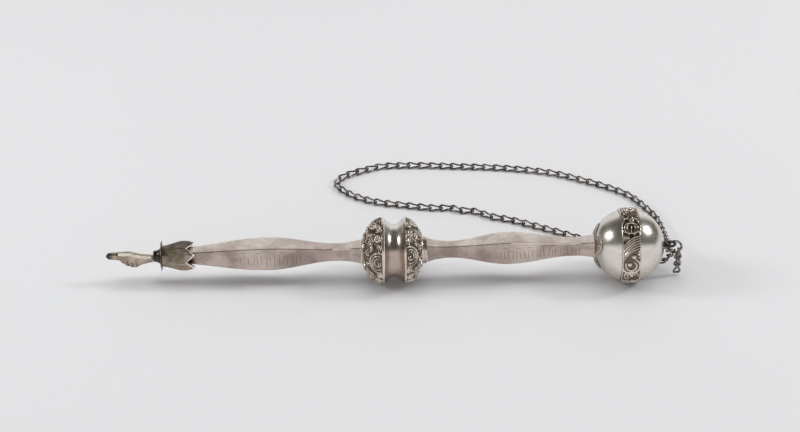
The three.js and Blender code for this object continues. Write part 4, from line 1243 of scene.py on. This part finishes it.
class AddEyeAndRing(bpy.types.Operator):
    """Adds the eye on the ball's end and the ring that hangs in it"""

    bl_idname = "pointer.add_eye_and_ring"
    bl_label = "Eye and Ring"

    def execute(self, context):
        sizes = context.scene.pointer_sizes
        at = Stations(sizes)
        foot = sizes.eye_foot_radius - sizes.seat_gap
        thick = sizes.eye_foot_thickness
        profile = [(at.eye_foot, 0), (at.eye_foot, foot), (at.eye_foot + 0.25 * thick, foot)]
        for i in range(9):
            share = i / 8
            profile.append((at.eye_foot + thick * (0.3 + 0.9 * share), foot * (0.95 - 0.45 * share**0.5)))
        profile.append((at.eye_foot + 1.2 * thick, 0))
        bm = turned_shape(profile, 48)
        loop = hoop(sizes.eye_radius, sizes.eye_wire, (0, 0, 1), (1, 0, 0), 56)
        bmesh.ops.translate(loop, verts=loop.verts, vec=(at.eye, 0, 0))
        mesh = bpy.data.meshes.new("hoop")
        loop.to_mesh(mesh)
        loop.free()
        bm.from_mesh(mesh)
        bpy.data.meshes.remove(mesh)
        finish_piece(bm, "end_eye_cast", "blackened_silver", "end_eye", at.pointer)

        ring = hoop(sizes.ring_radius, sizes.ring_wire, (0, 1, 0), (1, 0, 0), 72)
        finish_piece(ring, "jump_ring_wire", "oxidised_silver", "jump_ring", Matrix.Translation(at.ring))
        return {"FINISHED"}


# The chain's far turn and its two runs over the floor, in millimetres; None is the links' own height
CHAIN_TURN = (-24.7, 84, None)
FAR_RUN = [
    CHAIN_TURN, (-23.2, 89, None), (-19.1, 92.8, None), (-11.6, 97, None), (-3.1, 100.6, None),
    (14.4, 101.2, None), (33.6, 99.8, None), (52.8, 98.1, None), (62.4, 96.5, None), (71.9, 94.4, None),
    (81.2, 91.3, None), (90.4, 86.2, None), (99.5, 80.8, None), (108.3, 74.4, None), (113.4, 69.5, None),
    (118.6, 59.5, None), (122.3, 51.5, None), (124, 44, None), (124.5, 35, 2.4), (124.3, 25, 4.6),
    (123.8, 15, 7.8), (122.9, 6.5, 11),
]
NEAR_RUN = [
    CHAIN_TURN, (-23.5, 80, None), (-16.8, 72.3, None), (-7.6, 66.6, None), (8.9, 62.2, None),
    (22.4, 59.6, None), (28.9, 60, None), (32.8, 57.2, None), (39.4, 56.8, None), (46.7, 51.4, None),
    (54.9, 48.6, None), (63.9, 43.9, None), (77.2, 36.3, None), (91.4, 27.4, None), (105.4, 17.4, None),
    (114.4, 10.8, None), (119.8, 7, 2.8), (122.4, 4.2, 7),
]


# Where the two runs and the tail hook in, in degrees round the ring from the side away from the ball,
# up over its top
FAR_HOOK = 215
NEAR_HOOK = 258
TAIL_HOOK = 303


def smooth_line(points, per_span=40):
    """A centripetal curve through points, as many close points."""
    padded = [2 * points[0] - points[1], *points, 2 * points[-1] - points[-2]]
    line = []
    for before, start, end, after in zip(padded, padded[1:], padded[2:], padded[3:]):
        first = max(1e-9, (start - before).length_squared ** 0.25)
        second = max(1e-9, (end - start).length_squared ** 0.25)
        third = max(1e-9, (after - end).length_squared ** 0.25)
        leave = (start - before) / first - (end - before) / (first + second) + (end - start) / second
        arrive = (end - start) / second - (after - start) / (second + third) + (after - end) / third
        leave, arrive = leave * second, arrive * second
        for i in range(per_span):
            t = i / per_span
            line.append(
                start * (2 * t**3 - 3 * t**2 + 1) + leave * (t**3 - 2 * t**2 + t)
                + end * (-2 * t**3 + 3 * t**2) + arrive * (t**3 - t**2)
            )
    line.append(points[-1])
    return line


def even_points(line, count):
    """Count + 1 evenly spaced points of a line."""
    lengths = np.concatenate([[0], np.cumsum([(b - a).length for a, b in zip(line, line[1:])])])
    wanted = np.linspace(0, lengths[-1], count + 1)
    spots = [np.interp(wanted, lengths, [point[axis] for point in line]) for axis in range(3)]
    return [Vector(spot) for spot in zip(*spots)]


# One side of a link from its bar to its far end: shares of its length, half its width and its lift
LINK_SIDE = [
    (0.0, 0.6, 0.0), (0.05, 1.0, 0.04), (0.24, 1.0, 0.22), (0.46, 0.62, 0.6), (0.7, 0.34, 0.95),
    (0.92, 0.24, 0.92),
]


def link_wire(bar_at, next_at, facing, opened, chain):
    """The closed line of one pear-shaped link. Its sides run from its bar over and under the next."""
    along = next_at - bar_at
    reach = along.length
    along.normalize()
    across = facing.cross(along).normalized()
    lift = along.cross(across)
    half = chain.width / 2 - chain.wire
    end = reach + 2.4 * chain.wire
    rise = chain.lift + opened
    one_side = LINK_SIDE + [(1.0, 0.0, 0.0)]
    shares = one_side + [(a, -b, -c) for a, b, c in reversed(LINK_SIDE)]
    return [
        bar_at + along * (a * end) + across * (b * half) + lift * (c * rise) for a, b, c in shares
    ]


def run_to_ring(points, pitch, angle, at, sizes, chain):
    """Bars and links along a line of points, the last link hooked over the ring."""
    turn = math.radians(angle)
    wire_at = at.ring + sizes.ring_radius * Vector((math.cos(turn), 0, math.sin(turn)))
    tangent = Vector((-math.sin(turn), 0, math.cos(turn)))
    arrival = (wire_at - points[-1]).normalized()
    hook = sizes.ring_wire + chain.link_gap - 0.3 * MM
    line = smooth_line([*points, wire_at + hook * arrival])
    whole = sum((b - a).length for a, b in zip(line, line[1:]))
    count = round(whole / pitch)
    bars = even_points(line, count)
    lean = math.radians(chain.lean)
    links = []
    for i, (bar, after) in enumerate(zip(bars, bars[1:])):
        along = (after - bar).normalized()
        facing = Matrix.Rotation(lean * along.x, 3, along) @ Vector((0, 0, 1))
        square = along.cross(tangent)
        if square.dot(facing) < 0:
            square.negate()
        share = (i - (count - 1 - chain.twist_links)) / chain.twist_links
        facing = facing.lerp(square, float(ramp(share)))
        opened = sizes.ring_wire + chain.link_gap - chain.wire if i == count - 1 else 0
        links.append(link_wire(bar, after, facing, opened, chain))
    return bars, links


def wire_mesh(name, loops, radius):
    """A mesh of closed loops of round wire."""
    curve = bpy.data.curves.new(name, "CURVE")
    curve.dimensions = "3D"
    curve.bevel_depth = radius
    curve.bevel_resolution = 1
    curve.resolution_u = 2
    for loop in loops:
        spline = curve.splines.new("BEZIER")
        spline.bezier_points.add(len(loop) - 1)
        for spot, point in zip(spline.bezier_points, loop):
            spot.co = point
            spot.handle_left_type = spot.handle_right_type = "AUTO"
        spline.use_cyclic_u = True
    holder = bpy.data.objects.new(name, curve)
    bpy.context.scene.collection.objects.link(holder)
    depsgraph = bpy.context.evaluated_depsgraph_get()
    mesh = bpy.data.meshes.new_from_object(holder.evaluated_get(depsgraph))
    bpy.data.objects.remove(holder)
    bpy.data.curves.remove(curve)
    mesh.polygons.foreach_set("use_smooth", [True] * len(mesh.polygons))
    return mesh


def chain_points(run, chain):
    """The points of a run in metres, lying on the floor where they have no height."""
    lean = math.radians(chain.lean)
    own = max(chain.width / 2 * math.sin(lean), chain.lift * math.cos(lean)) + chain.wire
    return [Vector((x * MM, y * MM, own if z is None else z * MM)) for x, y, z in run]


class AddChain(bpy.types.Operator):
    """Adds the neck chain and its short tail"""

    bl_idname = "pointer.add_chain"
    bl_label = "Chain"

    def execute(self, context):
        sizes, chain = context.scene.pointer_sizes, context.scene.pointer_chain
        at = Stations(sizes)
        runs = [
            run_to_ring(chain_points(run, chain), chain.pitch, angle, at, sizes, chain)
            for run, angle in ((FAR_RUN, FAR_HOOK), (NEAR_RUN, NEAR_HOOK))
        ]
        (far_bars, far_links), (near_bars, near_links) = runs
        mesh = wire_mesh("neck_chain_links", far_links + near_links, chain.wire)
        piece = finish_mesh(mesh, "neck_chain_links", "oxidised_silver", "neck_chain")
        side = at.ring.x + 0.55 * sizes.ring_radius
        foot = Vector((side, 0.6 * MM, chain.width / 2))
        below = Vector((side, 0.1 * MM, at.ring.z - 1.6 * sizes.ring_radius))
        _, tail_links = run_to_ring([foot, below], chain.tail_pitch, TAIL_HOOK, at, sizes, chain)
        mesh = wire_mesh("chain_tail_links", tail_links, 1.3 * chain.wire)
        finish_mesh(mesh, "chain_tail_links", "oxidised_silver", "chain_tail")
        return {"FINISHED"}


# Ways from the ball to the lights
LEFT = (-0.874, 0.034, 0.484)
RIGHT = (0.765, 0.123, 0.632)
ABOVE = (0, 0.1, 1)


def soft_light(name, direction, target, distance, power, size, mirrored=True):
    """A round lamp that looks at its target. One that isn't mirrored stays out of reflections."""
    light = bpy.data.lights.new(name, "AREA")
    light.shape = "DISK"
    light.size = size
    light.energy = power
    light.color = (1.0, 0.995, 0.985)
    lamp = bpy.data.objects.new(name, light)
    toward = Vector(direction).normalized()
    lamp.location = target + toward * distance
    lamp.rotation_euler = toward.to_track_quat("Z", "Y").to_euler()
    lamp.visible_glossy = mirrored
    bpy.context.scene.collection.objects.link(lamp)


# Angles over which the room turns pale. The tops of the board and the wall are measured from straight
# in front, up and over to straight behind, and the wall's sides from straight behind.
BOARD_TOP = (math.radians(33), math.radians(26))
WALL_TOP = (math.radians(128), math.radians(146))
WALL_SIDES = (math.radians(46), math.radians(27))


def studio_world(settings):
    """A dark room with a pale wall behind the floor and a pale board in front of it."""
    world = bpy.data.worlds.new("studio")
    world.use_nodes = True
    tree = world.node_tree
    background = tree.nodes["Background"]

    def math_node(operation, first, second=None, third=None):
        node = tree.nodes.new("ShaderNodeMath")
        node.operation = operation
        for socket, value in zip(node.inputs, (first, second, third)):
            if isinstance(value, bpy.types.NodeSocket):
                tree.links.new(value, socket)
            elif value is not None:
                socket.default_value = value
        return node.outputs[0]

    def step_node(value, low, high):
        node = tree.nodes.new("ShaderNodeMapRange")
        node.interpolation_type = "SMOOTHSTEP"
        node.inputs["From Min"].default_value = low
        node.inputs["From Max"].default_value = high
        tree.links.new(value, node.inputs["Value"])
        return node.outputs["Result"]

    coordinates = tree.nodes.new("ShaderNodeTexCoord")
    split = tree.nodes.new("ShaderNodeSeparateXYZ")
    tree.links.new(coordinates.outputs["Generated"], split.inputs[0])
    x, y, z = split.outputs
    tilt = math_node("ARCTAN2", z, math_node("MULTIPLY", y, -1))
    board = step_node(tilt, *BOARD_TOP)
    wall_height = step_node(tilt, *WALL_TOP)
    bearing = math_node("ABSOLUTE", math_node("ARCTAN2", x, y))
    wall_width = step_node(bearing, *WALL_SIDES)
    pale = math_node("MAXIMUM", board, math_node("MULTIPLY", wall_height, wall_width))
    below = step_node(z, 0.005, -0.005)
    pale = math_node("MAXIMUM", pale, below)
    mix = tree.nodes.new("ShaderNodeMix")
    mix.data_type = "RGBA"
    mix.inputs[6].default_value = (*settings.room, 1)
    mix.inputs[7].default_value = (*settings.wall, 1)
    tree.links.new(pale, mix.inputs[0])
    tree.links.new(mix.outputs[2], background.inputs["Color"])
    background.inputs["Strength"].default_value = 1.0
    bpy.context.scene.world = world


class AddStage(bpy.types.Operator):
    """Adds the pale floor, the studio, its lights and the camera"""

    bl_idname = "pointer.add_stage"
    bl_label = "Stage"

    def execute(self, context):
        scene = context.scene
        settings = scene.pointer_stage
        at = Stations(scene.pointer_sizes)
        scene.view_settings.view_transform = "Standard"
        studio_world(settings)
        ball = at.pointer @ Vector((at.ball, 0, 0))
        middle = Vector((settings.target[0], settings.target[1], 0))
        for name, direction, target, power, size, mirrored in (
            ("left_light", LEFT, ball, settings.left_power, settings.light_size, True),
            ("right_light", RIGHT, ball, settings.right_power, settings.light_size, True),
            ("left_screen", LEFT, ball, settings.wide_power, settings.wide_size, False),
            ("right_screen", RIGHT, ball, settings.wide_power, settings.wide_size, False),
            ("fill_light", ABOVE, middle, settings.fill_power, settings.fill_size, False),
        ):
            soft_light(name, direction, target, settings.light_distance, power, size, mirrored)

        bm = bmesh.new()
        bmesh.ops.create_grid(bm, x_segments=8, y_segments=8, size=3)
        mesh = bpy.data.meshes.new("floor")
        bm.to_mesh(mesh)
        bm.free()
        floor = bpy.data.objects.new("floor", mesh)
        finish = Finish("floor_paper")
        shade = finish.patches(2.5, 0.3, 0.7, 0.0, 1.0, detail=2)
        paper = scene.pointer_colours.floor
        tint = finish.mix(shade, [0.985 * part for part in paper], paper)
        finish.link(tint, finish.shader.inputs["Base Color"])
        finish.shader.inputs["Roughness"].default_value = 0.6
        finish.shader.inputs["Specular IOR Level"].default_value = 0.15
        mesh.materials.append(finish.material)
        scene.collection.objects.link(floor)

        azimuth, elevation = math.radians(settings.azimuth), math.radians(settings.elevation)
        forward = Vector((
            math.sin(azimuth) * math.cos(elevation),
            math.cos(azimuth) * math.cos(elevation),
            -math.sin(elevation),
        ))
        camera = bpy.data.objects.new("camera", bpy.data.cameras.new("camera"))
        camera.data.lens = settings.lens
        camera.data.sensor_width = 36
        camera.data.clip_start = 0.01
        camera.location = Vector(settings.target) - settings.distance * forward
        camera.rotation_euler = forward.to_track_quat("-Z", "Y").to_euler()
        scene.collection.objects.link(camera)
        scene.camera = camera
        return {"FINISHED"}


class PointerPanel(bpy.types.Panel):
    """Lists the pieces that can be added, then their sizes and colours"""

    bl_idname = "VIEW3D_PT_torah_pointer"
    bl_label = "Torah Pointer"
    bl_space_type = "VIEW_3D"
    bl_region_type = "UI"
    bl_category = "Pointer"

    def draw(self, context):
        for operator in OPERATORS:
            self.layout.operator(operator.bl_idname)
        for name, group in GROUPS.items():
            box = self.layout.box()
            for key in group.__annotations__:
                box.prop(getattr(context.scene, name), key)


GROUPS = {
    "pointer_sizes": PointerSizes,
    "pointer_carving": CarvingSizes,
    "pointer_chain": ChainSizes,
    "pointer_colours": FinishColours,
    "pointer_stage": StageSettings,
}
OPERATORS = (
    AddStage,
    AddChain,
    AddHand,
    AddFerruleAndStar,
    AddCup,
    AddShafts,
    AddKnop,
    AddBall,
    AddEyeAndRing,
)


def register():
    for group in GROUPS.values():
        bpy.utils.register_class(group)
    for name, group in GROUPS.items():
        setattr(bpy.types.Scene, name, bpy.props.PointerProperty(type=group))
    for operator in OPERATORS:
        bpy.utils.register_class(operator)
    bpy.utils.register_class(PointerPanel)


def unregister():
    bpy.utils.unregister_class(PointerPanel)
    for operator in reversed(OPERATORS):
        bpy.utils.unregister_class(operator)
    for name, group in GROUPS.items():
        delattr(bpy.types.Scene, name)
        bpy.utils.unregister_class(group)


def main():
    register()
    bpy.ops.pointer.add_stage()
    bpy.ops.pointer.add_chain()
    bpy.ops.pointer.add_hand()
    bpy.ops.pointer.add_ferrule_and_star()
    bpy.ops.pointer.add_cup()
    bpy.ops.pointer.add_shafts()
    bpy.ops.pointer.add_knop()
    bpy.ops.pointer.add_ball()
    bpy.ops.pointer.add_eye_and_ring()


if __name__ == "__main__":
    main()
